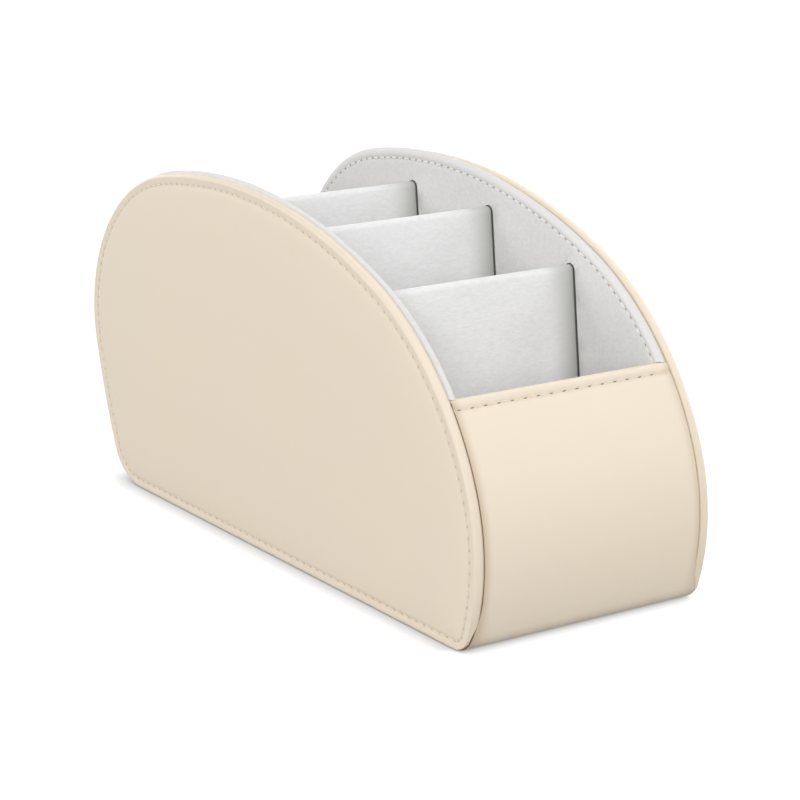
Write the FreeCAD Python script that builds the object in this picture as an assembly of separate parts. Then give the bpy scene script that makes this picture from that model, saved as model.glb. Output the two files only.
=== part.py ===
import FreeCAD, Part
import math
import os

# Desk organizer box: two tall bean-shaped side panels, a low curved front, a curved back and three dividers.
# Millimetres and degrees. X runs across the width, Y from the low front to the back, Z up from the table.

# Side outline: arcs walked from the front end of the flat base, round the front, over the top and down
# the back. Each arc has a radius and the angle that the outline turns on it. The heel arc closes it.
toe_radius = 6.5
front_radius = 74.0
shoulder_radius = 104.0
crown_radius = 188.0
rear_radius = 54.5
back_radius = 292.0
toe_angle = 76.0
front_angle = 38.0
shoulder_angle = 43.0
crown_angle = 37.0
rear_angle = 93.5
back_angle = 7.5

# Overall width over the two outer side panels.
overall_width = 100.0

# Materials by thickness.
leather_thickness = 0.7
fabric_thickness = 0.5

# Outer side panel: hardboard under foam, wrapped in leather that turns in over the inner face.
side_foam_thickness = 1.0
side_board_thickness = 2.1
side_rim_radius = 2.1
turn_in_width = 17.0

# Lining panel: card wrapped in fabric, glued inside the outer panel.
lining_card_thickness = 2.4
lining_rim_radius = 1.6
lining_recess = 0.3
lining_clearance = 0.1

# Front and back walls: bent board under foam and leather, lined with fabric.
wall_recess = 0.5
wall_foam_thickness = 0.8
wall_board_thickness = 2.0
wall_edge_radius = 1.5
front_height = 78.1
back_height = 89.0
hem_width = 12.0
tuck_width = 14.0
base_sheet_margin = 1.0

# Dividers: card in fabric, leaning back, with their ends in slots of the lining panels.
divider_foot_y = -57.7
divider_pitch = 42.3
divider_lean = 10.0
divider_count = 3
divider_drop = 10.6
divider_core_thickness = 2.4
divider_fabric_thickness = 0.8
slot_depth = 2.6
slot_end_clearance = 0.3
slot_front_gap = 1.1
slot_rear_gap = 0.1
slot_top_gap = 0.4

# Sewn thread lying in a pressed stitch line.
seam_inset = 3.3
hem_seam_drop = 4.2
thread_width = 0.5
thread_thickness = 0.25
stitch_line_width = 0.9

# Cutters reach this far past what they cut.
overrun = 2.0

# Derived sizes.
side_thickness = 2 * leather_thickness + side_foam_thickness + side_board_thickness
lining_thickness = 2 * fabric_thickness + lining_card_thickness
wall_thickness = 2 * leather_thickness + wall_foam_thickness + wall_board_thickness
divider_thickness = divider_core_thickness + 2 * divider_fabric_thickness
half_width = overall_width / 2
wall_half_width = half_width - side_thickness
bay_half_width = wall_half_width - lining_thickness
floor_height = wall_recess + wall_thickness
divider_half_length = bay_half_width + slot_depth - slot_end_clearance

# Angles that the outline has turned where it faces the front, the sky and the back, and where it closes.
facing_front = 90.0
facing_up = 180.0
facing_back = 270.0
full_turn = 360.0
tolerance = 1e-6

X_AXIS = FreeCAD.Vector(1, 0, 0)
ORIGIN = FreeCAD.Vector(0, 0, 0)


def walk_outline():
    """List the outline's arcs as (centre y, centre z, radius, first turn, last turn), centred on Y."""
    steps = (
        (toe_radius, toe_angle),
        (front_radius, front_angle),
        (shoulder_radius, shoulder_angle),
        (crown_radius, crown_angle),
        (rear_radius, rear_angle),
        (back_radius, back_angle),
    )
    arcs = []
    y = 0
    z = 0
    turned = 0
    for radius, turn in steps:
        centre_y = y + radius * math.sin(math.radians(turned))
        centre_z = z + radius * math.cos(math.radians(turned))
        arcs.append((centre_y, centre_z, radius, turned, turned + turn))
        turned += turn
        y = centre_y - radius * math.sin(math.radians(turned))
        z = centre_z - radius * math.cos(math.radians(turned))
    heel_radius = z / (1 - math.cos(math.radians(turned)))
    heel_y = y + heel_radius * math.sin(math.radians(turned))
    arcs.append((heel_y, heel_radius, heel_radius, turned, full_turn))
    front_most = point_on(arcs, facing_front, 0)[0]
    rear_most = point_on(arcs, facing_back, 0)[0]
    shift = (front_most + rear_most) / 2
    return [(centre_y - shift, *rest) for centre_y, *rest in arcs]


def arc_at(arcs, turned):
    """The arc on which the outline has turned by this angle."""
    return next(arc for arc in arcs if turned <= arc[4] + tolerance)


def point_on(arcs, turned, inset):
    """The (y, z) of the outline at a turned angle, moved inwards by the inset."""
    centre_y, centre_z, radius = arc_at(arcs, turned)[:3]
    reach = radius - inset
    angle = math.radians(turned)
    return centre_y - reach * math.sin(angle), centre_z - reach * math.cos(angle)


OUTLINE = walk_outline()
BASE_FRONT_Y = point_on(OUTLINE, 0, 0)[0]
BASE_REAR_Y = point_on(OUTLINE, full_turn, 0)[0]


def outline_vector(turned, inset):
    """The outline's point as a vector in the plane X = 0."""
    return FreeCAD.Vector(0, *point_on(OUTLINE, turned, inset))


def turn_at_height(height, rear):
    """The turned angle at which the outline stands at this height, at the front or at the rear."""
    for centre_y, centre_z, radius, first, last in OUTLINE:
        cosine = (centre_z - height) / radius
        if abs(cosine) < 1:
            angle = math.degrees(math.acos(cosine))
            turned = full_turn - angle if rear else angle
            if first - tolerance <= turned <= last + tolerance:
                return turned
    raise ValueError("no point of the outline stands at this height")


def turn_over(length, turned):
    """The angle that the outline turns over a length along it, near a turned angle."""
    return math.degrees(length / arc_at(OUTLINE, turned)[2])


def outline_edges(first, last, inset):
    """Arc edges of the outline between two turned angles, moved inwards by the inset."""
    edges = []
    for arc in OUTLINE:
        start = max(first, arc[3])
        end = min(last, arc[4])
        if end - start > tolerance:
            reach = arc[2] - inset
            points = []
            for turned in (start, (start + end) / 2, end):
                angle = math.radians(turned)
                y = arc[0] - reach * math.sin(angle)
                z = arc[1] - reach * math.cos(angle)
                points.append(FreeCAD.Vector(0, y, z))
            edges.append(Part.Arc(*points).toShape())
    return edges


def extruded(face, low_x, high_x):
    """A solid between two planes of X with this face of the plane X = 0 as its section."""
    face.translate(FreeCAD.Vector(low_x, 0, 0))
    return face.extrude(FreeCAD.Vector(high_x - low_x, 0, 0))


def whole_outline(inset, low_x, high_x):
    """A plate of the whole side outline, moved inwards by the inset."""
    base_line = Part.LineSegment(outline_vector(full_turn, 0), outline_vector(0, 0)).toShape()
    face = Part.Face(Part.Wire(outline_edges(0, full_turn, 0) + [base_line]))
    if inset > tolerance:
        face = face.makeOffset2D(-inset)
    return extruded(face, low_x, high_x)


def band(first, last, outer, inner, low_x, high_x):
    """A curved strip between two insets of the outline and two turned angles."""
    out_edges = outline_edges(first, last, outer)
    in_edges = outline_edges(first, last, inner)
    in_edges.reverse()
    end_line = Part.LineSegment(outline_vector(last, outer), outline_vector(last, inner)).toShape()
    start_line = Part.LineSegment(outline_vector(first, inner), outline_vector(first, outer)).toShape()
    face = Part.Face(Part.Wire(out_edges + [end_line] + in_edges + [start_line]))
    return extruded(face, low_x, high_x)


def box_between(low, high):
    """A box between two corners."""
    size = [top - bottom for bottom, top in zip(low, high)]
    return Part.makeBox(*size, FreeCAD.Vector(*low))


def joined(shapes):
    """One solid from touching solids, with their shared faces taken away."""
    result = shapes[0]
    for shape in shapes[1:]:
        result = result.fuse(shape)
    return result.removeSplitter()


def rounded_rims(solid, radius):
    """The plate with the edges of both its flat faces rounded."""
    if radius < tolerance:
        return solid
    rims = [edge for edge in solid.Edges if edge.BoundBox.XLength < tolerance]
    return solid.makeFillet(radius, rims)


FRONT_TOP = turn_at_height(front_height, False)
BACK_TOP = turn_at_height(back_height, True)
SIDE_OUTER_X = -half_width
SIDE_INNER_X = -wall_half_width
LINING_INNER_X = -bay_half_width
SIDE_RIM = min(side_rim_radius, side_thickness / 2 - tolerance)
LINING_RIM = min(lining_rim_radius, lining_thickness / 2 - tolerance)
WALL_EDGE = min(wall_edge_radius, wall_thickness / 2 - tolerance)


def side_blank(skin):
    """The left outer panel, shrunk all over by a skin."""
    plate = whole_outline(skin, SIDE_OUTER_X + skin, SIDE_INNER_X - skin)
    return rounded_rims(plate, SIDE_RIM - skin)


def side_panel():
    """Leather cover, foam and board of the left outer panel."""
    core = side_blank(leather_thickness)
    foam_face_x = SIDE_OUTER_X + leather_thickness + side_foam_thickness
    window = whole_outline(turn_in_width, SIDE_INNER_X - leather_thickness, SIDE_INNER_X)
    stitch_floor_x = SIDE_OUTER_X + thread_thickness
    stitch_line = seam_ring(stitch_line_width, SIDE_OUTER_X - overrun, stitch_floor_x)
    foam_slab = whole_outline(0, SIDE_OUTER_X, foam_face_x)
    return {
        "side_cover": side_blank(0).cut(core).cut(window).cut(stitch_line),
        "side_foam": core.common(foam_slab),
        "side_board": core.cut(foam_slab),
        "side_seam_thread": seam_ring(thread_width, SIDE_OUTER_X, stitch_floor_x),
    }


def seam_ring(width, low_x, high_x):
    """A closed ring that follows the outline at the seam's inset."""
    outer = whole_outline(seam_inset - width / 2, low_x, high_x)
    inner = whole_outline(seam_inset + width / 2, low_x, high_x)
    return outer.cut(inner)


def wall_zone(depth, gap, low_x, high_x):
    """The space of the front wall, floor and back wall, down to a depth inside the outline."""
    front_end = FRONT_TOP + turn_over(gap, FRONT_TOP)
    back_end = BACK_TOP - turn_over(gap, BACK_TOP)
    front = band(0, front_end, -overrun, depth, low_x, high_x)
    back = band(back_end, full_turn, -overrun, depth, low_x, high_x)
    base = box_between((low_x, BASE_FRONT_Y, -overrun), (high_x, BASE_REAR_Y, depth))
    return [front, back, base]


def lining_blank(skin):
    """The left lining panel without its slots, shrunk all over by a skin."""
    low_x = SIDE_INNER_X + skin
    high_x = LINING_INNER_X - skin
    solid = rounded_rims(whole_outline(lining_recess + skin, low_x, high_x), LINING_RIM - skin)
    depth = floor_height + lining_clearance + skin
    for cutter in wall_zone(depth, lining_clearance + skin, low_x - overrun, high_x + overrun):
        solid = solid.cut(cutter)
    return solid


def divider_length(foot, along):
    """Length of a divider from its foot to the outline lowered by the divider's drop."""
    for centre_y, centre_z, radius, first, last in OUTLINE:
        offset = foot - FreeCAD.Vector(0, centre_y, centre_z - divider_drop)
        reach = along.dot(offset)
        spread = reach ** 2 - offset.Length ** 2 + radius ** 2
        if spread > 0:
            length = math.sqrt(spread) - reach
            end = offset + along * length
            turned = math.degrees(math.atan2(-end.y, -end.z)) % full_turn
            if first <= turned <= last:
                return length
    raise ValueError("the divider doesn't reach the lowered outline")


def divider_section(index, half_thickness, front_gap, rear_gap, top_drop, foot_z):
    """Section of a leaning divider or its slot: two faces, a full round top and a level foot."""
    lean = math.radians(divider_lean)
    along = FreeCAD.Vector(0, math.sin(lean), math.cos(lean))
    across = FreeCAD.Vector(0, math.cos(lean), -math.sin(lean))
    foot = FreeCAD.Vector(0, divider_foot_y + index * divider_pitch, floor_height)
    front = -half_thickness - front_gap
    rear = half_thickness + rear_gap
    radius = (rear - front) / 2
    height = divider_length(foot, along) - top_drop
    centre = foot + across * ((front + rear) / 2) + along * (height - radius)

    def foot_point(offset):
        """Where the face at this offset meets the foot's level."""
        climb = (foot_z - floor_height + offset * math.sin(lean)) / math.cos(lean)
        return foot + across * offset + along * climb

    front_top = centre - across * radius
    rear_top = centre + across * radius
    crest = centre + along * radius
    outline = [
        Part.LineSegment(foot_point(front), front_top).toShape(),
        Part.Arc(front_top, crest, rear_top).toShape(),
        Part.LineSegment(rear_top, foot_point(rear)).toShape(),
        Part.LineSegment(foot_point(rear), foot_point(front)).toShape(),
    ]
    return Part.Face(Part.Wire(outline))


def divider_slots():
    """Cutters for the slots that hold the dividers' left ends."""
    slots = []
    for index in range(divider_count):
        section = divider_section(
            index, divider_thickness / 2, slot_front_gap, slot_rear_gap, -slot_top_gap, floor_height - overrun
        )
        slots.append(extruded(section, LINING_INNER_X - slot_depth, LINING_INNER_X + overrun))
    return slots


def lining_panel():
    """Fabric cover, card and seam thread of the left lining panel."""
    core = lining_blank(fabric_thickness)
    cover = lining_blank(0).cut(core)
    window = whole_outline(turn_in_width, SIDE_INNER_X, SIDE_INNER_X + fabric_thickness)
    stitch_floor_x = LINING_INNER_X - thread_thickness
    first = FRONT_TOP + turn_over(lining_clearance, FRONT_TOP)
    last = BACK_TOP - turn_over(lining_clearance, BACK_TOP)
    groove_outer = seam_inset - stitch_line_width / 2
    groove_inner = seam_inset + stitch_line_width / 2
    groove_first = first - turn_over(overrun, FRONT_TOP)
    groove_last = last + turn_over(overrun, BACK_TOP)
    high_x = LINING_INNER_X + overrun
    groove = band(groove_first, groove_last, groove_outer, groove_inner, stitch_floor_x, high_x)
    thread_outer = seam_inset - thread_width / 2
    thread_inner = seam_inset + thread_width / 2
    thread = band(first, last, thread_outer, thread_inner, stitch_floor_x, LINING_INNER_X)
    cover = cover.cut(window).cut(groove)
    for slot in divider_slots():
        cover = cover.cut(slot)
        core = core.cut(slot)
    return {"lining_cover": cover, "lining_card": core, "lining_seam_thread": thread}


def infill_card():
    """The left card that fills the space inside the turned-in leather and fabric."""
    return whole_outline(turn_in_width, SIDE_INNER_X - leather_thickness, SIDE_INNER_X + fabric_thickness)


def wall_turns(top, trim):
    """First and last turned angle of a wall whose top edge is lowered by a trim."""
    angle = turn_over(trim, top)
    if top < facing_up:
        return 0, top - angle
    return top + angle, full_turn


def wall_strip(top, trim, outer, inner):
    """A layer of a wall between two depths below its outer face, across the whole width between the sides."""
    first, last = wall_turns(top, trim)
    return band(first, last, wall_recess + outer, wall_recess + inner, -wall_half_width, wall_half_width)


def wall_blank(top, skin):
    """A wall with a rounded top edge, shrunk by a skin."""
    solid = wall_strip(top, skin, skin, wall_thickness - skin)
    first, last = wall_turns(top, skin)
    top_turned = last if top < facing_up else first
    corners = [
        outline_vector(top_turned, wall_recess + skin),
        outline_vector(top_turned, wall_recess + wall_thickness - skin),
    ]
    edges = [edge for edge in solid.Edges if any(is_along_x(edge, corner) for corner in corners)]
    return solid.makeFillet(WALL_EDGE - skin, edges)


def is_along_x(edge, corner):
    """Whether the edge runs along X through this corner of the section."""
    start = edge.Vertexes[0].Point
    end = edge.Vertexes[-1].Point
    flat_start = FreeCAD.Vector(0, start.y, start.z)
    flat_end = FreeCAD.Vector(0, end.y, end.z)
    near = tolerance * overall_width
    return (flat_start - corner).Length < near and (flat_end - corner).Length < near


def hem_seam(top, width, outer, inner):
    """A strip along the hem's seam, between two depths below the wall's outer face."""
    direction = -1 if top < facing_up else 1
    middle = top + direction * turn_over(hem_seam_drop, top)
    half = turn_over(width / 2, top)
    top_depth = wall_recess + outer
    floor_depth = wall_recess + inner
    return band(middle - half, middle + half, top_depth, floor_depth, -wall_half_width, wall_half_width)


def wall(top, name):
    """Leather cover, foam, board, fabric lining and hem thread of the front or the back wall."""
    core = wall_blank(top, leather_thickness)
    foam_depth = leather_thickness + wall_foam_thickness
    foam_strip = wall_strip(top, 0, leather_thickness, foam_depth)
    lining = wall_strip(top, hem_width, wall_thickness - leather_thickness, wall_thickness)
    stitch_line = hem_seam(top, stitch_line_width, -overrun, thread_thickness)
    tuck_y = BASE_FRONT_Y if top < facing_up else BASE_REAR_Y - tuck_width
    tuck_low = (-wall_half_width, tuck_y, wall_recess)
    tuck_high = (wall_half_width, tuck_y + tuck_width, wall_recess + leather_thickness)
    skin = wall_blank(top, 0).cut(core).cut(lining).cut(stitch_line)
    return {
        name + "_cover": joined([skin, box_between(tuck_low, tuck_high)]),
        name + "_foam": core.common(foam_strip),
        name + "_board": core.cut(foam_strip),
        name + "_lining": lining,
        name + "_hem_thread": hem_seam(top, thread_width, 0, thread_thickness),
    }


def base():
    """Base sheet, infill, board and floor lining between the front and the back wall."""
    leather_top = wall_recess + leather_thickness
    board_top = floor_height - leather_thickness
    sheet_half = wall_half_width - base_sheet_margin
    sheet_front = BASE_FRONT_Y + base_sheet_margin
    sheet_rear = BASE_REAR_Y - base_sheet_margin
    infill_front = BASE_FRONT_Y + tuck_width
    infill_rear = BASE_REAR_Y - tuck_width
    half = wall_half_width
    return {
        "base_sheet": box_between((-sheet_half, sheet_front, 0), (sheet_half, sheet_rear, wall_recess)),
        "base_infill": box_between((-half, infill_front, wall_recess), (half, infill_rear, leather_top)),
        "base_board": box_between((-half, BASE_FRONT_Y, leather_top), (half, BASE_REAR_Y, board_top)),
        "floor_lining": box_between((-half, BASE_FRONT_Y, board_top), (half, BASE_REAR_Y, floor_height)),
    }


def divider(index):
    """Fabric cover and card core of one divider."""
    section = divider_section(index, divider_thickness / 2, 0, 0, 0, floor_height)
    outer = extruded(section, -divider_half_length, divider_half_length)
    core_section = divider_section(
        index, divider_core_thickness / 2, 0, 0, divider_fabric_thickness, floor_height
    )
    core_half = divider_half_length - divider_fabric_thickness
    core = extruded(core_section, -core_half, core_half)
    number = index + 1
    return {f"divider_{number}_cover": outer.cut(core), f"divider_{number}_core": core}


def mirrored_pair(pieces):
    """Left pieces and their mirror images on the right."""
    pair = {}
    for name, shape in pieces.items():
        pair["left_" + name] = shape
        pair["right_" + name] = shape.mirror(ORIGIN, X_AXIS)
    return pair


def build():
    """Every piece of the organizer by name."""
    pieces = {}
    pieces.update(mirrored_pair(side_panel()))
    pieces.update(mirrored_pair(lining_panel()))
    pieces.update(mirrored_pair({"infill_card": infill_card()}))
    pieces.update(wall(FRONT_TOP, "front"))
    pieces.update(wall(BACK_TOP, "back"))
    pieces.update(base())
    for index in range(divider_count):
        pieces.update(divider(index))
    return pieces


os.makedirs("parts", exist_ok=True)
for node, shape in build().items():
    solids = shape.Solids
    solid = solids[0] if len(solids) == 1 else Part.makeCompound(solids)
    solid.exportStep(f"parts/{node}.step")
    print(node, len(solids), shape.isValid(), round(shape.Volume, 1))
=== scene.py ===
"""Looks of the desk organizer box: leather, lining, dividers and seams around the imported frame."""

from __future__ import annotations

import logging
import math
from dataclasses import dataclass, field
from enum import Enum
from typing import Any

import bmesh
import bpy
import numpy as np
from mathutils import Matrix, Vector, noise
from mathutils.geometry import delaunay_2d_cdt

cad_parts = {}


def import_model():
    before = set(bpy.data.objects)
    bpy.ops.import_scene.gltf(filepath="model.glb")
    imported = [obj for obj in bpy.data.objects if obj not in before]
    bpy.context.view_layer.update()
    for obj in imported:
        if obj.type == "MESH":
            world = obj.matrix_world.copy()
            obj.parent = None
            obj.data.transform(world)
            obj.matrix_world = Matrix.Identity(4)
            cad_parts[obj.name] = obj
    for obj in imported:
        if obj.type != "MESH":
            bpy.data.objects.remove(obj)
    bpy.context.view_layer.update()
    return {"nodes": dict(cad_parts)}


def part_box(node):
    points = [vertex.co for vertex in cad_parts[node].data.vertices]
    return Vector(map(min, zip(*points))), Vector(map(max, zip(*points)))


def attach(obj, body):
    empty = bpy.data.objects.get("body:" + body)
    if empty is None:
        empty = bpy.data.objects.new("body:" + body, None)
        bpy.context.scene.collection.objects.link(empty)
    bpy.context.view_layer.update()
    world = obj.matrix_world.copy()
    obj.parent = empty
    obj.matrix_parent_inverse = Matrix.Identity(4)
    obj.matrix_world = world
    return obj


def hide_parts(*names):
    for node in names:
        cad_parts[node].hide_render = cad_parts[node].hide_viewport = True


LOG = logging.getLogger("organizer")
MM = 0.001
BODY = "root"
FULL_TURN = 360.0

# Points closer than WELD become one, and edges shorter than SLIVER go, in metres.
WELD = 0.002 * MM
SLIVER = 0.001 * MM

# Edges sharper than these degrees stay sharp.
CREASE = 60.0
NO_CREASE = 180.0

# Even triangles: the spacing of their rows, and how near the edge a point may lie, in steps.
EVEN_ROW = math.sqrt(0.75)
EDGE_SHARE = 0.45
MERGE = 1e-5


class Side(Enum):
    """A side panel, by the sign of its X."""

    LEFT = -1
    RIGHT = 1

    @property
    def label(self) -> str:
        """The side's name in piece and node names."""
        return self.name.lower()


class End(Enum):
    """A curved wall, by the way that its leather runs along the outline from its top."""

    FRONT = -1
    BACK = 1

    @property
    def label(self) -> str:
        """The wall's name in piece and node names."""
        return self.name.lower()


class Paint(Enum):
    """A mark painted on a mesh, which its finish reads: painted shade in creases, on lit rims and
    towards slots, painted shade beside edges and in grooves, and painted shadow in gaps.
    """

    DENT = "dent"
    STAIN = "stain"
    GAP = "gap"


class Grain(Enum):
    """How the lining's fine streaks run: the stretch of the pattern along X, Y and Z."""

    ACROSS = (0.33, 1.0, 1.0)
    LENGTHWISE = (1.0, 0.45, 0.6)


Rgb = tuple[int, int, int]
Rgba = tuple[float, float, float, float]
Vec3 = tuple[float, float, float]

# The share of each mark, a panel's step (inset and depth) and a wall's step (distance down
# from its top, inset, and whether it faces out).
Marks = dict[Paint, Any]
Step = tuple[float, float | None]
PathStep = tuple[float, float, bool]


def smooth_step(value: np.ndarray | float) -> np.ndarray | float:
    """Rises smoothly from 0 to 1 as the value does."""
    held = np.clip(value, 0.0, 1.0)
    return held * held * (3.0 - 2.0 * held)


def ramp(value: np.ndarray | float, start: float, end: float) -> np.ndarray | float:
    """Rises smoothly from 0 to 1 as the value goes from a start to an end."""
    return smooth_step((value - start) / (end - start))


def bell(value: np.ndarray | float, width: float) -> np.ndarray | float:
    """1 at a value of 0, and smoothly less on both sides of it."""
    return np.exp(-((value / width) ** 2))


def wave(turns: np.ndarray) -> np.ndarray:
    """1 at whole turns and 0 midway between two."""
    return 0.5 + 0.5 * np.cos(2.0 * math.pi * turns)


def stack_marks(marks: list[Marks], count: int, axis: int) -> Marks:
    """Joins the marks of the rows or the columns of a grid.

    Args:
        marks: The marks of each row or column.
        count: How many points each one has.
        axis: 0 for rows and 1 for columns.

    Returns:
        The marks by row and column.
    """
    return {
        paint: np.stack([np.broadcast_to(mark.get(paint, 0.0), (count,)) for mark in marks], axis)
        for paint in Paint
    }


def srgb(colour: Rgb) -> Rgba:
    """A colour as seen on a screen, as linear values.

    Args:
        colour: Red, green and blue from 0 to 255.

    Returns:
        Linear red, green, blue and an alpha of 1.
    """

    def linear(level: int) -> float:
        """One channel as a linear value."""
        share = level / 255.0
        return share / 12.92 if share <= 0.04045 else ((share + 0.055) / 1.055) ** 2.4

    red, green, blue = colour
    return linear(red), linear(green), linear(blue), 1.0


@dataclass(frozen=True)
class BoxSizes:
    """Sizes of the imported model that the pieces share, in millimetres."""

    half_width: float
    wall_half_width: float
    bay_half_width: float
    wall_recess: float
    floor_height: float

    @classmethod
    def from_frame(cls) -> BoxSizes:
        """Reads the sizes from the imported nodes.

        Returns:
            The sizes.
        """
        side_low, side_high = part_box("left_side_cover")
        lining_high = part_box("left_lining_cover")[1]
        return cls(
            half_width=-side_low.x / MM,
            wall_half_width=-side_high.x / MM,
            bay_half_width=-lining_high.x / MM,
            wall_recess=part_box("base_sheet")[1].z / MM,
            floor_height=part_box("floor_lining")[1].z / MM,
        )

    @property
    def wall_thickness(self) -> float:
        """Thickness of the curved walls and the floor."""
        return self.floor_height - self.wall_recess


@dataclass(frozen=True)
class Arc:
    """One arc of the side outline, between two angles that the outline has turned."""

    centre_y: float
    centre_z: float
    radius: float
    first: float
    last: float

    @property
    def length(self) -> float:
        """Length along the arc."""
        return self.radius * math.radians(self.last - self.first)


@dataclass
class SideOutline:
    """The side panels' outline: arcs from the front end of the base over the top to the heel.

    Each step has the radius of an arc in millimetres and the degrees that it turns.
    """

    steps: tuple[tuple[float, float], ...] = (
        (6.5, 76.0),
        (74.0, 38.0),
        (104.0, 43.0),
        (188.0, 37.0),
        (54.5, 93.5),
        (292.0, 7.5),
    )
    front_height: float = 78.1
    back_height: float = 89.0
    fine_samples: int = 20001
    arcs: list[Arc] = field(init=False)

    def __post_init__(self) -> None:
        """Walks the arcs and centres the outline on Y."""
        y = 0.0
        z = 0.0
        turned = 0.0
        arcs = []
        for radius, turn in self.steps:
            angle = math.radians(turned)
            centre_y = y + radius * math.sin(angle)
            centre_z = z + radius * math.cos(angle)
            arcs.append(Arc(centre_y, centre_z, radius, turned, turned + turn))
            turned += turn
            angle = math.radians(turned)
            y = centre_y - radius * math.sin(angle)
            z = centre_z - radius * math.cos(angle)
        heel = z / (1.0 - math.cos(math.radians(turned)))
        arcs.append(Arc(y + heel * math.sin(math.radians(turned)), heel, heel, turned, FULL_TURN))
        foremost = arcs[1].centre_y - arcs[1].radius
        rearmost = arcs[4].centre_y + arcs[4].radius
        shift = (foremost + rearmost) / 2.0
        self.arcs = [Arc(a.centre_y - shift, a.centre_z, a.radius, a.first, a.last) for a in arcs]

    @property
    def arcs_length(self) -> float:
        """Length of all arcs, without the flat base."""
        return sum(arc.length for arc in self.arcs)

    @property
    def base_length(self) -> float:
        """Length of the flat base."""
        return self.arcs[-1].centre_y - self.arcs[0].centre_y

    @property
    def perimeter(self) -> float:
        """Length of the closed outline."""
        return self.arcs_length + self.base_length

    def stations(self, lengths: np.ndarray) -> tuple[np.ndarray, np.ndarray]:
        """Points and inward normals at lengths along the outline.

        Args:
            lengths: Distances from the front end of the base, over the top. Past the heel, and
                below 0, they run along the flat base.

        Returns:
            Points and unit normals, each with a row of Y and Z for every length.
        """
        wrapped = np.mod(np.asarray(lengths, float), self.perimeter)
        points = np.zeros((wrapped.size, 2))
        normals = np.zeros((wrapped.size, 2))
        start = 0.0
        for arc in self.arcs:
            here = (wrapped >= start) & (wrapped <= start + arc.length)
            angle = np.radians(arc.first) + (wrapped[here] - start) / arc.radius
            normals[here] = np.stack([np.sin(angle), np.cos(angle)], axis=1)
            points[here] = np.array([arc.centre_y, arc.centre_z]) - arc.radius * normals[here]
            start += arc.length
        base = wrapped > start
        points[base, 0] = self.arcs[-1].centre_y - (wrapped[base] - start)
        normals[base, 1] = 1.0
        return points, normals

    def inset_points(self, lengths: np.ndarray, insets: np.ndarray | float) -> np.ndarray:
        """Points of the outline moved inwards.

        Args:
            lengths: Distances along the outline.
            insets: How far each point moves inwards.

        Returns:
            A row of Y and Z for every length.
        """
        points, normals = self.stations(lengths)
        return points + normals * np.broadcast_to(insets, (len(points),))[:, None]

    def length_at_height(self, height: float, end: End) -> float:
        """Where the outline stands at a height, at the front or at the back.

        Args:
            height: Height above the table.
            end: Which end of the box.

        Returns:
            The distance along the outline.
        """
        lengths = np.linspace(0.0, self.arcs_length, self.fine_samples)
        points = self.stations(lengths)[0]
        half = points[:, 0] < 0 if end is End.FRONT else points[:, 0] > 0
        nearest = np.where(half, np.abs(points[:, 1] - height), np.inf).argmin()
        return float(lengths[nearest])

    @property
    def front_top(self) -> float:
        """Distance along the outline to the top of the front wall."""
        return self.length_at_height(self.front_height, End.FRONT)

    @property
    def back_top(self) -> float:
        """Distance along the outline to the top of the back wall."""
        return self.length_at_height(self.back_height, End.BACK)


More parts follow.
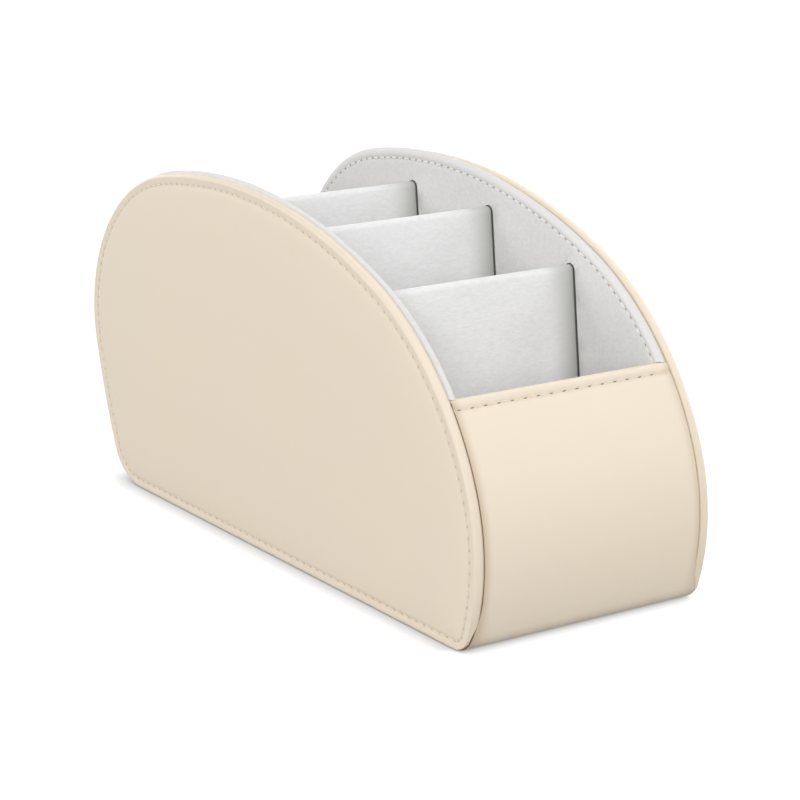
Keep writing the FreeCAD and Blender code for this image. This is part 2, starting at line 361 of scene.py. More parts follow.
class Surface:
    """Vertices in millimetres and faces, gathered patch by patch and welded into one mesh."""

    def __init__(self) -> None:
        """Starts with nothing."""
        self.points: list[np.ndarray] = []
        self.paints: dict[Paint, list[np.ndarray]] = {paint: [] for paint in Paint}
        self.faces: list[tuple[int, ...]] = []
        self.slots: list[int] = []
        self.count = 0

    def add(
        self, points: np.ndarray, faces: Any, marks: Marks | None = None, slot: int = 0
    ) -> None:
        """Adds points and faces.

        Args:
            points: A row of X, Y and Z for each point.
            faces: Tuples of the points' numbers.
            marks: The share of each painted mark at the points, from 0 to 1.
            slot: The material slot of the faces.
        """
        start = self.count
        self.points.append(np.asarray(points, float))
        for paint, shares in self.paints.items():
            share = (marks or {}).get(paint, 0.0)
            shares.append(np.broadcast_to(share, (len(points),)).astype(float))
        for face in faces:
            self.faces.append(tuple(int(number) + start for number in face))
            self.slots.append(slot)
        self.count += len(points)

    def add_grid(
        self,
        grid: np.ndarray,
        marks: Marks | None = None,
        close_rows: bool = False,
        close_columns: bool = False,
        slot: int = 0,
    ) -> None:
        """Adds a grid of points as four-sided faces.

        Args:
            grid: Points by row and column.
            marks: The share of each painted mark, by row and column.
            close_rows: Whether the last row joins the first.
            close_columns: Whether the last column joins the first.
            slot: The material slot of the faces.
        """
        rows, columns = grid.shape[:2]
        faces = []
        for row in range(rows if close_rows else rows - 1):
            here = row * columns
            after = (row + 1) % rows * columns
            for column in range(columns if close_columns else columns - 1):
                beside = (column + 1) % columns
                faces.append((here + column, after + column, after + beside, here + beside))
        flat = {
            paint: np.broadcast_to(share, (rows, columns)).reshape(-1)
            for paint, share in (marks or {}).items()
        }
        self.add(grid.reshape(-1, 3), faces, flat, slot)

    def add_tube(self, rings: np.ndarray) -> None:
        """Adds a tube with a face over each end.

        Args:
            rings: Points by ring and place round the ring.
        """
        count, sides = rings.shape[:2]
        first = self.count
        self.add_grid(rings, close_columns=True)
        for ring in (0, count - 1):
            start = first + ring * sides
            self.faces.append(tuple(range(start, start + sides)))
            self.slots.append(0)

    def close_ends(self, loops: np.ndarray) -> None:
        """Closes the first and the last of a row of thin loops, which run out and back.

        Args:
            loops: Points by loop and place along the loop.
        """
        half = loops.shape[1] // 2
        for loop in (loops[0], loops[-1]):
            self.add_grid(np.stack([loop[:half], loop[::-1][:half]], axis=1))

    def build(
        self, name: str, materials: list[bpy.types.Material], crease_angle: float
    ) -> bpy.types.Object:
        """Welds the patches and makes the object.

        Args:
            name: The piece's name.
            materials: One material for each slot.
            crease_angle: Edges sharper than this many degrees stay sharp.

        Returns:
            The new object, smooth shaded.
        """
        mesh = bpy.data.meshes.new(name)
        mesh.from_pydata((np.concatenate(self.points) * MM).tolist(), [], self.faces)
        mesh.polygons.foreach_set("material_index", self.slots)
        for paint, shares in self.paints.items():
            attribute = mesh.attributes.new(paint.value, "FLOAT", "POINT")
            attribute.data.foreach_set("value", np.concatenate(shares).astype(np.float32))
        work = bmesh.new()
        work.from_mesh(mesh)
        bmesh.ops.remove_doubles(work, verts=work.verts, dist=WELD)
        bmesh.ops.dissolve_degenerate(work, edges=work.edges, dist=SLIVER)
        bmesh.ops.recalc_face_normals(work, faces=work.faces)
        work.to_mesh(mesh)
        work.free()
        mesh.polygons.foreach_set("use_smooth", [True] * len(mesh.polygons))
        mesh.set_sharp_from_angle(angle=math.radians(crease_angle))
        for material in materials:
            mesh.materials.append(material)
        piece = bpy.data.objects.new(name, mesh)
        bpy.context.scene.collection.objects.link(piece)
        return piece


def place(piece: bpy.types.Object, slot: str, *nodes: str) -> bpy.types.Object:
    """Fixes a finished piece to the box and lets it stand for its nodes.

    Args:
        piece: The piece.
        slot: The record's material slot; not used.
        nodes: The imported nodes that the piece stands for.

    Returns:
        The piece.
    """
    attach(piece, BODY)
    if nodes:
        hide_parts(*nodes)
    count = len(piece.data.polygons)
    LOG.info("%s: %d faces, stands for %s", piece.name, count, ", ".join(nodes) or "nothing")
    return piece


class Signal:
    """A shader value. Arithmetic on it adds Math nodes."""

    def __init__(self, graph: NodeGraph, socket: bpy.types.NodeSocket | None) -> None:
        """Wraps an output socket.

        Args:
            graph: The graph that the socket is in.
            socket: The output socket, or nothing for a node that has none.
        """
        self.graph = graph
        self.socket = socket

    def _math(self, operation: str, first: Signal | float, second: Signal | float) -> Signal:
        """Adds a Math node with two operands."""
        return self.graph.node("ShaderNodeMath", {"operation": operation}, {0: first, 1: second})

    def __add__(self, other: Signal | float) -> Signal:
        """This value plus another."""
        return self._math("ADD", self, other)

    def __radd__(self, other: float) -> Signal:
        """A number plus this value."""
        return self._math("ADD", other, self)

    def __sub__(self, other: Signal | float) -> Signal:
        """This value less another."""
        return self._math("SUBTRACT", self, other)

    def __rsub__(self, other: float) -> Signal:
        """A number less this value."""
        return self._math("SUBTRACT", other, self)

    def __mul__(self, other: Signal | float) -> Signal:
        """This value times another."""
        return self._math("MULTIPLY", self, other)

    def __rmul__(self, other: float) -> Signal:
        """A number times this value."""
        return self._math("MULTIPLY", other, self)

    def clamped(self) -> Signal:
        """This value held between 0 and 1."""
        return self.graph.node("ShaderNodeClamp", {}, {0: self, 1: 0.0, 2: 1.0})

    def contrasted(self, gain: float) -> Signal:
        """This value spread about its middle of 0.5, held between 0 and 1."""
        return ((self - 0.5) * gain + 0.5).clamped()

    def around(self, middle: float, spread: float) -> Signal:
        """A number that varies with this value by a spread about a middle."""
        return self * spread + (middle - spread / 2.0)


class NodeGraph:
    """The nodes of a material or of the world."""

    def __init__(self, block: bpy.types.Material | bpy.types.World) -> None:
        """Starts with an empty graph.

        Args:
            block: The material or the world.
        """
        block.use_nodes = True
        self.block = block
        self.tree = block.node_tree
        self.tree.nodes.clear()

    @classmethod
    def of_material(cls, name: str) -> NodeGraph:
        """The empty graph of a new material."""
        return cls(bpy.data.materials.new(name))

    def node(
        self,
        kind: str,
        settings: dict[str, Any] | None = None,
        inputs: dict[str | int, Any] | None = None,
        output: str | int = 0,
    ) -> Signal:
        """Adds a node.

        Args:
            kind: The node's type.
            settings: Properties that are set first.
            inputs: Values or links by the name or number of the socket.
            output: The output to give back.

        Returns:
            The output's value.
        """
        made = self.tree.nodes.new(kind)
        for key, value in (settings or {}).items():
            setattr(made, key, value)
        for key, value in (inputs or {}).items():
            if isinstance(value, Signal):
                self.tree.links.new(value.socket, made.inputs[key])
            else:
                made.inputs[key].default_value = value
        return Signal(self, made.outputs[output] if len(made.outputs) else None)

    def vector(self, operation: str, first: Signal, second: Vec3, output: int = 0) -> Signal:
        """Adds a Vector Math node on a vector and a constant one."""
        settings = {"operation": operation}
        return self.node("ShaderNodeVectorMath", settings, {0: first, 1: second}, output)

    def coordinates(self, stretch: Vec3 = (1.0, 1.0, 1.0)) -> Signal:
        """Places in the box's own frame, in metres, stretched along the axes."""
        places = self.node("ShaderNodeTexCoord", output="Object")
        return self.vector("MULTIPLY", places, stretch)

    def noise(
        self, places: Signal, scale: float, detail: float = 2.0, roughness: float = 0.5
    ) -> Signal:
        """Cloudy noise between 0 and 1.

        Args:
            places: Where the noise is read.
            scale: How many features there are to the metre.
            detail: How many finer layers there are.
            roughness: How strong the finer layers are.

        Returns:
            The noise's value.
        """
        inputs = {"Vector": places, "Scale": scale, "Detail": detail, "Roughness": roughness}
        return self.node("ShaderNodeTexNoise", {"noise_dimensions": "3D"}, inputs, 0)

    def mix(self, share: Signal, first: Any, second: Any) -> Signal:
        """A colour between two, by a share."""
        inputs = {0: share, 6: first, 7: second}
        return self.node("ShaderNodeMix", {"data_type": "RGBA"}, inputs, 2)

    def mark(self, paint: Paint) -> Signal:
        """The share of a painted mark, from 0 to 1."""
        settings = {"attribute_type": "GEOMETRY", "attribute_name": paint.value}
        return self.node("ShaderNodeAttribute", settings, output="Fac").clamped()

    def bump(self, height: Signal, strength: float, distance: float) -> Signal:
        """A surface normal from a height.

        Args:
            height: The height's value.
            strength: How strongly it shows, from 0 to 1.
            distance: The height of a value of 1, in metres.

        Returns:
            The normal.
        """
        inputs = {"Strength": strength, "Distance": distance, "Height": height}
        return self.node("ShaderNodeBump", {}, inputs)

    def seen(self) -> Signal:
        """Tells the rays that show a thing from those that only light the others.

        Returns:
            1 for rays of the camera, of gloss and through glass, and else 0.
        """
        kinds = ("Camera", "Glossy", "Transmission")
        rays = [self.node("ShaderNodeLightPath", output=f"Is {kind} Ray") for kind in kinds]
        return (rays[0] + rays[1] + rays[2]).clamped()

    def surface(self, inputs: dict[str | int, Any]) -> bpy.types.Material:
        """Ends the graph in a Principled shader with these values or links."""
        return self.end(self.node("ShaderNodeBsdfPrincipled", {}, inputs, "BSDF"))

    def end(self, shader: Signal) -> bpy.types.Material | bpy.types.World:
        """Ends the graph in a shader.

        Args:
            shader: The last shader.

        Returns:
            The finished material or world.
        """
        kind = "World" if isinstance(self.block, bpy.types.World) else "Material"
        self.node(f"ShaderNodeOutput{kind}", {}, {"Surface": shader})
        return self.block


@dataclass(frozen=True)
class Leather:
    """Smooth synthetic leather with a fine grain, darkened by painted shade in seams, grooves and
    gaps.
    """

    name: str
    colour: Rgb
    warm: Rgb
    # pressed: painted shade in seam creases and on the rim's crown; tan: painted shade beside edges
    # and in grooves; dark: painted shadow in gaps.
    pressed: Rgb
    tan: Rgb
    dark: Rgb
    roughness: float = 0.5
    cloud_scale: float = 22.0
    fine_scale: float = 260.0
    pore_scale: float = 1900.0
    wrinkle_scale: float = 700.0
    relief: float = 0.00012
    relief_strength: float = 0.12

    def material(self) -> bpy.types.Material:
        """Makes the material.

        Returns:
            The leather.
        """
        graph = NodeGraph.of_material(self.name)
        places = graph.coordinates()
        clouds = graph.noise(places, self.cloud_scale, 3.0)
        fine = graph.noise(places, self.fine_scale)
        # The painted shade of seams, rims and edges and the painted shadow in gaps darken the
        # colour.
        dent = (graph.mark(Paint.DENT) * (0.4 + 0.4 * fine)).clamped()
        stain = (graph.mark(Paint.STAIN) * (0.75 + 0.5 * clouds)).clamped()
        colour = graph.mix(clouds.contrasted(1.4), srgb(self.colour), srgb(self.warm))
        colour = graph.mix(dent, colour, srgb(self.pressed))
        colour = graph.mix(stain, colour, srgb(self.tan))
        colour = graph.mix(graph.mark(Paint.GAP), colour, srgb(self.dark))
        pores = graph.node(
            "ShaderNodeTexVoronoi",
            {"feature": "SMOOTH_F1"},
            {"Vector": places, "Scale": self.pore_scale, "Smoothness": 0.6},
            "Distance",
        )
        height = pores * 0.5 + graph.noise(places, self.wrinkle_scale, 3.0, 0.6)
        return graph.surface(
            {
                "Base Color": colour,
                "Roughness": fine.around(self.roughness, 0.1),
                "Normal": graph.bump(height, self.relief_strength, self.relief),
                "Specular IOR Level": 0.4,
            }
        )


@dataclass(frozen=True)
class LiningCloth:
    """Brushed lining cloth with short fine streaks along one direction."""

    name: str
    colour: Rgb
    shade: Rgb
    # pressed: painted shade in seams, on slot lips and towards the slots; pale: painted shade that
    # tones down the lit rim; hidden: painted shadow inside the slots.
    pressed: Rgb
    rim_shade_tone: Rgb
    hidden_shadow: Rgb
    grain: Grain
    streak_scale: float = 1400.0
    patch_scale: float = 500.0
    nap_scale: float = 2600.0
    relief: float = 0.00018
    relief_strength: float = 0.3

    def material(self) -> bpy.types.Material:
        """Makes the material.

        Returns:
            The cloth.
        """
        graph = NodeGraph.of_material(self.name)
        along = graph.coordinates(self.grain.value)
        streaks = graph.noise(along, self.streak_scale, 2.0, 0.6)
        patches = graph.noise(along, self.patch_scale)
        nap = graph.noise(graph.coordinates(), self.nap_scale, 2.0, 0.7)
        tone = ((streaks - 0.5) * 1.9 + (patches - 0.5) * 0.6 + 0.5).clamped()
        colour = graph.mix(tone, srgb(self.shade), srgb(self.colour))
        # Painted shade on the rim, in seams and towards the slots, and painted shadow inside the
        # slots.
        colour = graph.mix(graph.mark(Paint.STAIN), colour, srgb(self.rim_shade_tone))
        colour = graph.mix(graph.mark(Paint.DENT), colour, srgb(self.pressed))
        colour = graph.mix(graph.mark(Paint.GAP), colour, srgb(self.hidden_shadow))
        height = streaks * 1.2 + nap * 0.35
        return graph.surface(
            {
                "Base Color": colour,
                "Roughness": nap.around(0.87, 0.1),
                "Normal": graph.bump(height, self.relief_strength, self.relief),
                "Specular IOR Level": 0.2,
                "Sheen Weight": 0.15,
                "Sheen Roughness": 0.6,
            }
        )


@dataclass(frozen=True)
class Yarn:
    """Twisted sewing thread."""

    name: str
    colour: Rgb
    shade: Rgb
    twist_scale: float = 3800.0
    relief: float = 0.00008
    relief_strength: float = 0.4

    def material(self) -> bpy.types.Material:
        """Makes the material.

        Returns:
            The thread.
        """
        graph = NodeGraph.of_material(self.name)
        twist = graph.noise(graph.coordinates(), self.twist_scale, 1.0)
        return graph.surface(
            {
                "Base Color": graph.mix(
                    twist.contrasted(2.0), srgb(self.shade), srgb(self.colour)
                ),
                "Roughness": twist.around(0.6, 0.1),
                "Normal": graph.bump(twist, self.relief_strength, self.relief),
            }
        )


@dataclass(frozen=True)
class Fibre:
    """Dull pressed fibre, such as board, card, felt, foam, or a dark copy that is the painted shade
    inside needle holes and slots.
    """

    name: str
    colour: Rgb
    shade: Rgb
    scale: float = 900.0
    roughness: float = 0.9
    relief: float = 0.0002
    relief_strength: float = 0.35

    def material(self) -> bpy.types.Material:
        """Makes the material.

        Returns:
            The fibre.
        """
        graph = NodeGraph.of_material(self.name)
        flecks = graph.noise(graph.coordinates(), self.scale, 4.0, 0.7)
        return graph.surface(
            {
                "Base Color": graph.mix(
                    flecks.contrasted(2.2), srgb(self.shade), srgb(self.colour)
                ),
                "Roughness": flecks.around(self.roughness, 0.08),
                "Normal": graph.bump(flecks, self.relief_strength, self.relief),
                "Specular IOR Level": 0.2,
            }
        )


def finish(maker: type, *values: Any) -> Any:
    """A field that holds the material of one finish."""
    return field(init=False, default_factory=lambda: maker(*values).material())


@dataclass
class Wardrobe:
    """Every finish of the box, made once."""

    # The last three colours of the leather and of each cloth are painted shade and shadow.
    leather: bpy.types.Material = finish(
        Leather,
        "cream_leather",
        (238, 224, 206),
        (240, 227, 205),
        (214, 200, 181),
        (206, 186, 157),
        (106, 83, 60),
    )
    divider_cloth: bpy.types.Material = finish(
        LiningCloth,
        "divider_cloth",
        (246, 246, 246),
        (235, 235, 235),
        (196, 196, 193),
        (248, 248, 248),
        (104, 104, 101),
        Grain.ACROSS,
    )
    panel_cloth: bpy.types.Material = finish(
        LiningCloth,
        "panel_cloth",
        (230, 229, 228),
        (219, 218, 216),
        (204, 204, 201),
        (229, 227, 225),
        (104, 104, 101),
        Grain.LENGTHWISE,
    )
    leather_thread: bpy.types.Material = finish(
        Yarn, "leather_thread", (240, 228, 208), (222, 206, 182)
    )
    lining_thread: bpy.types.Material = finish(
        Yarn, "lining_thread", (246, 246, 244), (226, 226, 222)
    )
    # The needle holes' colours are painted shade.
    leather_hole: bpy.types.Material = finish(
        Fibre, "leather_hole", (210, 194, 171), (188, 171, 147)
    )
    hem_hole: bpy.types.Material = finish(Fibre, "hem_hole", (168, 150, 132), (136, 119, 102))
    lining_hole: bpy.types.Material = finish(
        Fibre, "lining_hole", (150, 149, 145), (120, 119, 116)
    )
    # The slots' dark walls are painted shadow.
    slot_edge: bpy.types.Material = finish(Fibre, "slot_edge", (88, 88, 85), (68, 68, 66))
    board: bpy.types.Material = finish(Fibre, "grey_board", (150, 142, 130), (122, 114, 104))
    foam: bpy.types.Material = finish(
        Fibre, "padding_foam", (236, 232, 218), (214, 208, 190), 1600.0
    )
    felt: bpy.types.Material = finish(
        Fibre, "base_felt", (92, 90, 88), (62, 61, 60), 1400.0, 0.95
    )

    def dress_nodes(self, nodes: dict[str, bpy.types.Object]) -> None:
        """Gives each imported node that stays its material.

        Args:
            nodes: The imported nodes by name.
        """
        for name, node in sorted(nodes.items()):
            material = self.foam if name.endswith("foam") else self.board
            if name == "base_sheet":
                material = self.felt
            node.data.materials.clear()
            node.data.materials.append(material)
            LOG.info("%s: dressed in %s", name, material.name)


def circle(first: np.ndarray, second: np.ndarray, sides: int) -> np.ndarray:
    """Points round an ellipse whose half axes are two vectors."""
    turns = np.linspace(0.0, 2.0 * math.pi, sides, endpoint=False)[:, None]
    return np.cos(turns) * first + np.sin(turns) * second


@dataclass
class StitchRun:
    """A row of stitches between needle holes on a surface."""

    name: str
    holes: np.ndarray
    normals: np.ndarray
    closed: bool
    thread_radius: float = 0.24
    end_taper: float = 1.6
    end_share: float = 0.15
    slant: float = 0.12
    rise: float = 0.1
    sink: float = 0.3
    gap_share: float = 0.1
    hole_length: float = 1.0
    hole_width: float = 0.5
    hole_slant: float = 0.25
    hole_rings: tuple[tuple[float, float], ...] = ((1.0, -0.12), (0.85, 0.02), (0.45, 0.05))
    hole_sides: int = 12
    sides: int = 8
    rings: int = 9

    def _frames(self) -> list[tuple[np.ndarray, ...]]:
        """Finds how each stitch lies.

        Returns:
            Start, end, direction, normal and crosswise direction of each stitch.
        """
        count = len(self.holes)
        frames = []
        for index in range(count if self.closed else count - 1):
            after = (index + 1) % count
            start = self.holes[index]
            end = self.holes[after]
            direction = (end - start) / np.linalg.norm(end - start)
            normal = self.normals[index] + self.normals[after]
            normal = normal / np.linalg.norm(normal)
            frames.append((start, end, direction, normal, np.cross(normal, direction)))
        return frames

    def sew(self, thread: bpy.types.Material, hole: bpy.types.Material, node: str) -> None:
        """Places the stitches, which stand for the seam's node, and their needle holes."""
        place(self._stitches(thread), "sewing_thread", node)
        place(self._needle_holes(hole), "sewing_thread")

    def _stitches(self, material: bpy.types.Material) -> bpy.types.Object:
        """Makes the stitches.

        Args:
            material: The thread's material.

        Returns:
            One object with every stitch.
        """
        shares = 0.5 - 0.5 * np.cos(np.linspace(0.0, math.pi, self.rings))
        arch = np.sqrt(np.clip(1.0 - (2.0 * shares - 1.0) ** 2, 0.0, 1.0))
        levels = -self.sink + (self.sink + self.rise) * arch
        held = self.gap_share + (1.0 - 2.0 * self.gap_share) * shares
        aside = (shares - 0.5) * 2.0 * self.slant
        radii = self.thread_radius * np.clip(arch * self.end_taper + self.end_share, 0.0, 1.0)
        surface = Surface()
        for start, end, _, normal, across in self._frames():
            centres = start + np.outer(held, end - start)
            centres = centres + np.outer(levels, normal) + np.outer(aside, across)
            ring = circle(normal, across, self.sides)
            surface.add_tube(centres[:, None, :] + radii[:, None, None] * ring[None, :, :])
        return surface.build(self.name + "_stitches", [material], NO_CREASE)

    def _needle_holes(self, material: bpy.types.Material) -> bpy.types.Object:
        """Makes the needle holes at the stitches' ends, dark with painted shade.

        Args:
            material: The holes' material, a painted shade.

        Returns:
            One object with every hole.
        """
        surface = Surface()
        for start, _, direction, normal, across in self._frames():
            along = direction * math.cos(self.hole_slant) + across * math.sin(self.hole_slant)
            length = along * self.hole_length / 2.0
            width = np.cross(normal, along) * self.hole_width / 2.0
            loop = circle(length, width, self.hole_sides)
            rings = [start + loop * share + normal * level for share, level in self.hole_rings]
            surface.add_tube(np.stack(rings))
        return surface.build(self.name + "_needle_holes", [material], NO_CREASE)


@dataclass
class SidePanel:
    """The padded leather cover of one outer panel, with its puffed rim and its seam."""

    side: Side
    sizes: BoxSizes
    outline: SideOutline
    rim_inset: float = 1.15
    rim_depth: float = 0.84
    rim_crown: float = 2.5
    # Painted shade on the rim, stronger higher up and eased past the hem, tones down the light on
    # its crown.
    rim_shade: float = 0.42
    rim_shade_reach: float = 2.2
    rim_shade_height: float = 75.0
    crown_steps: int = 12
    back_steps: int = 7
    bright_start: float = 12.0
    bright_reach: float = 34.0
    bright_depths: tuple[float, float] = (1.1, 2.0)
    # Painted shade in the groove at the rim's back, and painted shadow where it meets the wall.
    stain_depths: tuple[float, float] = (3.2, 4.4)
    gap_blend: float = 0.25
    gap_lean: float = 0.6
    inner_round: float = 0.75
    wall_gap: float = 0.05
    seam_inset: float = 3.3
    seam_depth: float = 0.14
    pucker_depth: float = 0.1
    seam_width: float = 0.75
    dent_width: float = 0.55
    dent_between: float = 0.45
    face_insets: tuple[float, ...] = (
        6.4, 5.6, 4.9, 4.4, 4.0, 3.7, 3.5, 3.3, 3.1, 2.9, 2.6, 2.3, 2.0, 1.7, 1.4,
    )
    field_depth: float = 0.05
    field_step: float = 2.2
    pillow: float = 0.8
    pillow_fade: float = 7.0
    front_pitch: float = 3.9
    crest_pitch: float = 3.4
    front_ease: float = 30.0
    back_ease: float = 60.0
    samples_per_stitch: int = 6
    fine_samples: int = 6001
    swell: float = 0.05
    swell_scale: float = 38.0
    swell_depth: float = 1.6
    swell_shift: float = 3.0
    corner_height: float = 24.0
    corner_sink: float = 0.62
    corner_depths: tuple[float, float] = (0.8, 2.0)
    # The far side takes less of the painted shadow and groove shade.
    far_gap: float = 0.12
    far_stain: float = 0.2
    hole_lift: float = 0.02

    def __post_init__(self) -> None:
        """Spreads the stations along the outline, closer together on the shorter stitches."""
        end = self.outline.perimeter
        fine = np.linspace(0.0, end, self.fine_samples)
        front, back = self.outline.front_top, self.outline.back_top
        stops = [0.0, front + self.front_ease, (front + back) / 2.0, back + self.back_ease, end]
        pitches = [self.front_pitch] * 2 + [self.crest_pitch] * 2 + [self.front_pitch]
        stitches = np.cumsum(np.diff(fine) / np.interp(fine[1:], stops, pitches))
        phase = np.concatenate([[0.0], stitches])
        count = round(phase[-1]) * self.samples_per_stitch
        self.lengths = np.interp(np.arange(count) / count * phase[-1], phase, fine)
        self.pucker = wave(np.arange(count) / self.samples_per_stitch)

    def _place(self, yz: np.ndarray, depths: np.ndarray | float) -> np.ndarray:
        """Points at depths below the outer face."""
        x = self.side.value * (self.sizes.half_width - np.broadcast_to(depths, (len(yz),)))
        return np.column_stack([x, yz])

    @property
    def thickness(self) -> float:
        """The panel's thickness, just clear of the walls."""
        return self.sizes.half_width - self.sizes.wall_half_width - self.wall_gap

    def _face_depth(
        self, insets: np.ndarray | float, pucker: np.ndarray | float
    ) -> np.ndarray:
        """Depth of the outer face below the panel's plane.

        Args:
            insets: Distances from the outline.
            pucker: 1 at a needle hole and 0 midway between two.

        Returns:
            The depth for each distance or pucker value.
        """
        beyond = np.maximum(np.asarray(insets, float) - self.seam_inset, 0.0)
        sunk = self.field_depth + self.pillow * np.exp(-beyond / self.pillow_fade)
        rounding = ramp(insets, self.rim_inset, self.seam_inset)
        valley = bell(insets - self.seam_inset, self.seam_width)
        level = self.rim_depth + (sunk - self.rim_depth) * rounding
        return level + valley * (self.seam_depth + self.pucker_depth * pucker)

    def _profile(self) -> list[Step]:
        """Steps across the rim, from the face over the crown to the back.

        Returns:
            The inset and depth of each step, without a depth where the face's own rule holds.
        """
        steps: list[Step] = [(inset, None) for inset in self.face_insets]
        for angle in np.linspace(0.0, math.pi / 2.0, self.crown_steps):
            sunk = (self.rim_crown - self.rim_depth) * (1.0 - math.cos(angle))
            steps.append((self.rim_inset * (1.0 - math.sin(angle)), self.rim_depth + sunk))
        level = self.thickness - self.inner_round
        steps.append((0.0, (self.rim_crown + level) / 2.0))
        for angle in np.linspace(0.0, math.pi / 2.0, self.back_steps):
            inset = self.inner_round * (1.0 - math.cos(angle))
            steps.append((inset, level + self.inner_round * math.sin(angle)))
        steps.append((self.face_insets[0], self.thickness))
        return steps

    def _corner_share(self) -> np.ndarray:
        """Finds the bottom corners, where the walls' leather laps over the rim.

        Returns:
            How near each station is to a corner, from 0 to 1.
        """
        heights = self.outline.stations(self.lengths)[0][:, 1]
        near_base = 1.0 - ramp(heights, 0.0, self.corner_height)
        return near_base * (self.lengths < self.outline.arcs_length)

    def _marks(self, inset: float, depth: float | None) -> Marks:
        """The painted shade of the seam's crease and of the rim, and the painted shade and shadow at
        the rim's back.

        Args:
            inset: The step's distance from the outline.
            depth: The step's depth, or none on the face.

        Returns:
            The marks' shares along the step.
        """
        heights = self.outline.stations(self.lengths)[0][:, 1]
        # Painted shade on the rim, stronger higher up.
        shade = self.rim_shade * ramp(heights, 0.0, self.rim_shade_height)
        if depth is None:
            shade = shade * smooth_step((self.seam_inset - inset) / self.rim_shade_reach)
            between = self.dent_between
            dent = bell(inset - self.seam_inset, self.dent_width)
            return {Paint.DENT: np.maximum(shade, dent * (between + (1.0 - between) * self.pucker))}
        # Painted shade and shadow at the rim's back, weaker on the far side.
        far = self.side is Side.RIGHT
        past_hem = self.lengths - self.outline.front_top - self.bright_start
        bright = bell(past_hem, self.bright_reach) * ramp(depth, *self.bright_depths)
        behind = depth + inset * self.gap_lean - self.thickness
        gap = ramp(behind, 0.0, self.gap_blend)
        return {
            Paint.DENT: shade * (1.0 - bright),
            Paint.STAIN: ramp(depth, *self.stain_depths) * (self.far_stain if far else 1.0),
            Paint.GAP: gap * (self.far_gap if far else 1.0),
        }

    def cover(self, material: bpy.types.Material) -> bpy.types.Object:
        """Makes the leather cover.

        Args:
            material: The leather.

        Returns:
            The placed piece.
        """
        corner = self._corner_share()
        columns = []
        marks = []
        for inset, depth in self._profile():
            marks.append(self._marks(inset, depth))
            sink = 0.0
            level = depth
            if depth is None:
                level = self._face_depth(inset, self.pucker)
            else:
                sink = self.corner_sink * ramp(depth, *self.corner_depths)
            yz = self.outline.inset_points(self.lengths, inset + sink * corner)
            columns.append(self._place(yz, level))
        surface = Surface()
        count = len(self.lengths)
        surface.add_grid(np.stack(columns, axis=1), stack_marks(marks, count, 1), close_rows=True)
        rim = self.outline.inset_points(self.lengths, self.face_insets[0])
        self._add_field(surface, rim)
        surface.add(self._place(rim, self.thickness), [tuple(range(count))])
        name = self.side.label
        piece = surface.build(f"{name}_side_leather", [material], CREASE)
        self._swell(piece)
        return place(piece, "cream_leather", f"{name}_side_cover", f"{name}_side_foam")

    def _add_field(self, surface: Surface, rim: np.ndarray) -> None:
        """Fills the outer face inside the rim with even triangles that rise to the middle.

        Args:
            surface: The cover so far.
            rim: The loop inside the rim.
        """
        points, faces = fill_polygon(rim, self.field_step)
        apart = points[:, None, :] - rim[None, :, :]
        reach = np.min(np.hypot(apart[..., 0], apart[..., 1]), axis=1)
        depths = self._face_depth(self.face_insets[0] + reach, 0.5)
        depths[: len(rim)] = self._face_depth(self.face_insets[0], self.pucker)
        surface.add(self._place(points, depths), faces)

    def _swell(self, piece: bpy.types.Object) -> None:
        """Lets the padding lift and sink the flat of the outer face a little.

        Args:
            piece: The cover.
        """
        out = self.side.value
        plane = out * (self.sizes.half_width - self.swell_depth) * MM
        for vertex in piece.data.vertices:
            if (vertex.co.x - plane) * out > 0:
                spot = vertex.co / (self.swell_scale * MM)
                lift = noise.noise(spot + Vector((self.swell_shift * out, 0.0, 0.0)))
                vertex.co.x -= out * self.swell * MM * (0.5 + 0.5 * lift)

    def seam(self) -> StitchRun:
        """The stitches of the outer face.

        Returns:
            The closed row of stitches.
        """
        lengths = self.lengths[:: self.samples_per_stitch]
        yz = self.outline.inset_points(lengths, self.seam_inset)
        depth = float(self._face_depth(self.seam_inset, 1.0)) + self.swell / 2.0
        out = self.side.value
        return StitchRun(
            f"{self.side.label}_side_seam",
            self._place(yz, depth - self.hole_lift),
            np.tile([out, 0.0, 0.0], (len(yz), 1)),
            True,
            thread_radius=0.22,
            slant=0.16 * out,
            rise=0.06,
            hole_length=1.25,
            hole_width=0.42,
            hole_slant=0.45 * out,
        )


def fill_polygon(loop: np.ndarray, step: float) -> tuple[np.ndarray, list[tuple[int, ...]]]:
    """Fills a closed loop with even triangles.

    Args:
        loop: The loop's points, a row of Y and Z each.
        step: The spacing of the points added inside.

    Returns:
        The loop's points followed by the inner ones, and the triangles.
    """
    low = loop.min(axis=0)
    high = loop.max(axis=0)
    columns = np.arange(low[0] + step / 2.0, high[0], step)
    rows = np.arange(low[1] + step / 2.0, high[1], step * EVEN_ROW)
    inner = []
    for number, z in enumerate(rows):
        for y in columns + step / 2.0 * (number % 2):
            nearest = np.min(np.hypot(loop[:, 0] - y, loop[:, 1] - z))
            if nearest > step * EDGE_SHARE and inside(loop, y, z):
                inner.append((y, z))
    points = np.vstack([loop, np.array(inner)]) if inner else loop
    count = len(loop)
    edges = [(number, (number + 1) % count) for number in range(count)]
    result = delaunay_2d_cdt([Vector(point) for point in points], edges, [], 0, MERGE, True)
    order = [sources[0] for sources in result[3]]
    faces = []
    for face in result[2]:
        corners = tuple(order[number] for number in face)
        middle = points[list(corners)].mean(axis=0)
        if inside(loop, middle[0], middle[1]):
            faces.append(corners)
    return points, faces


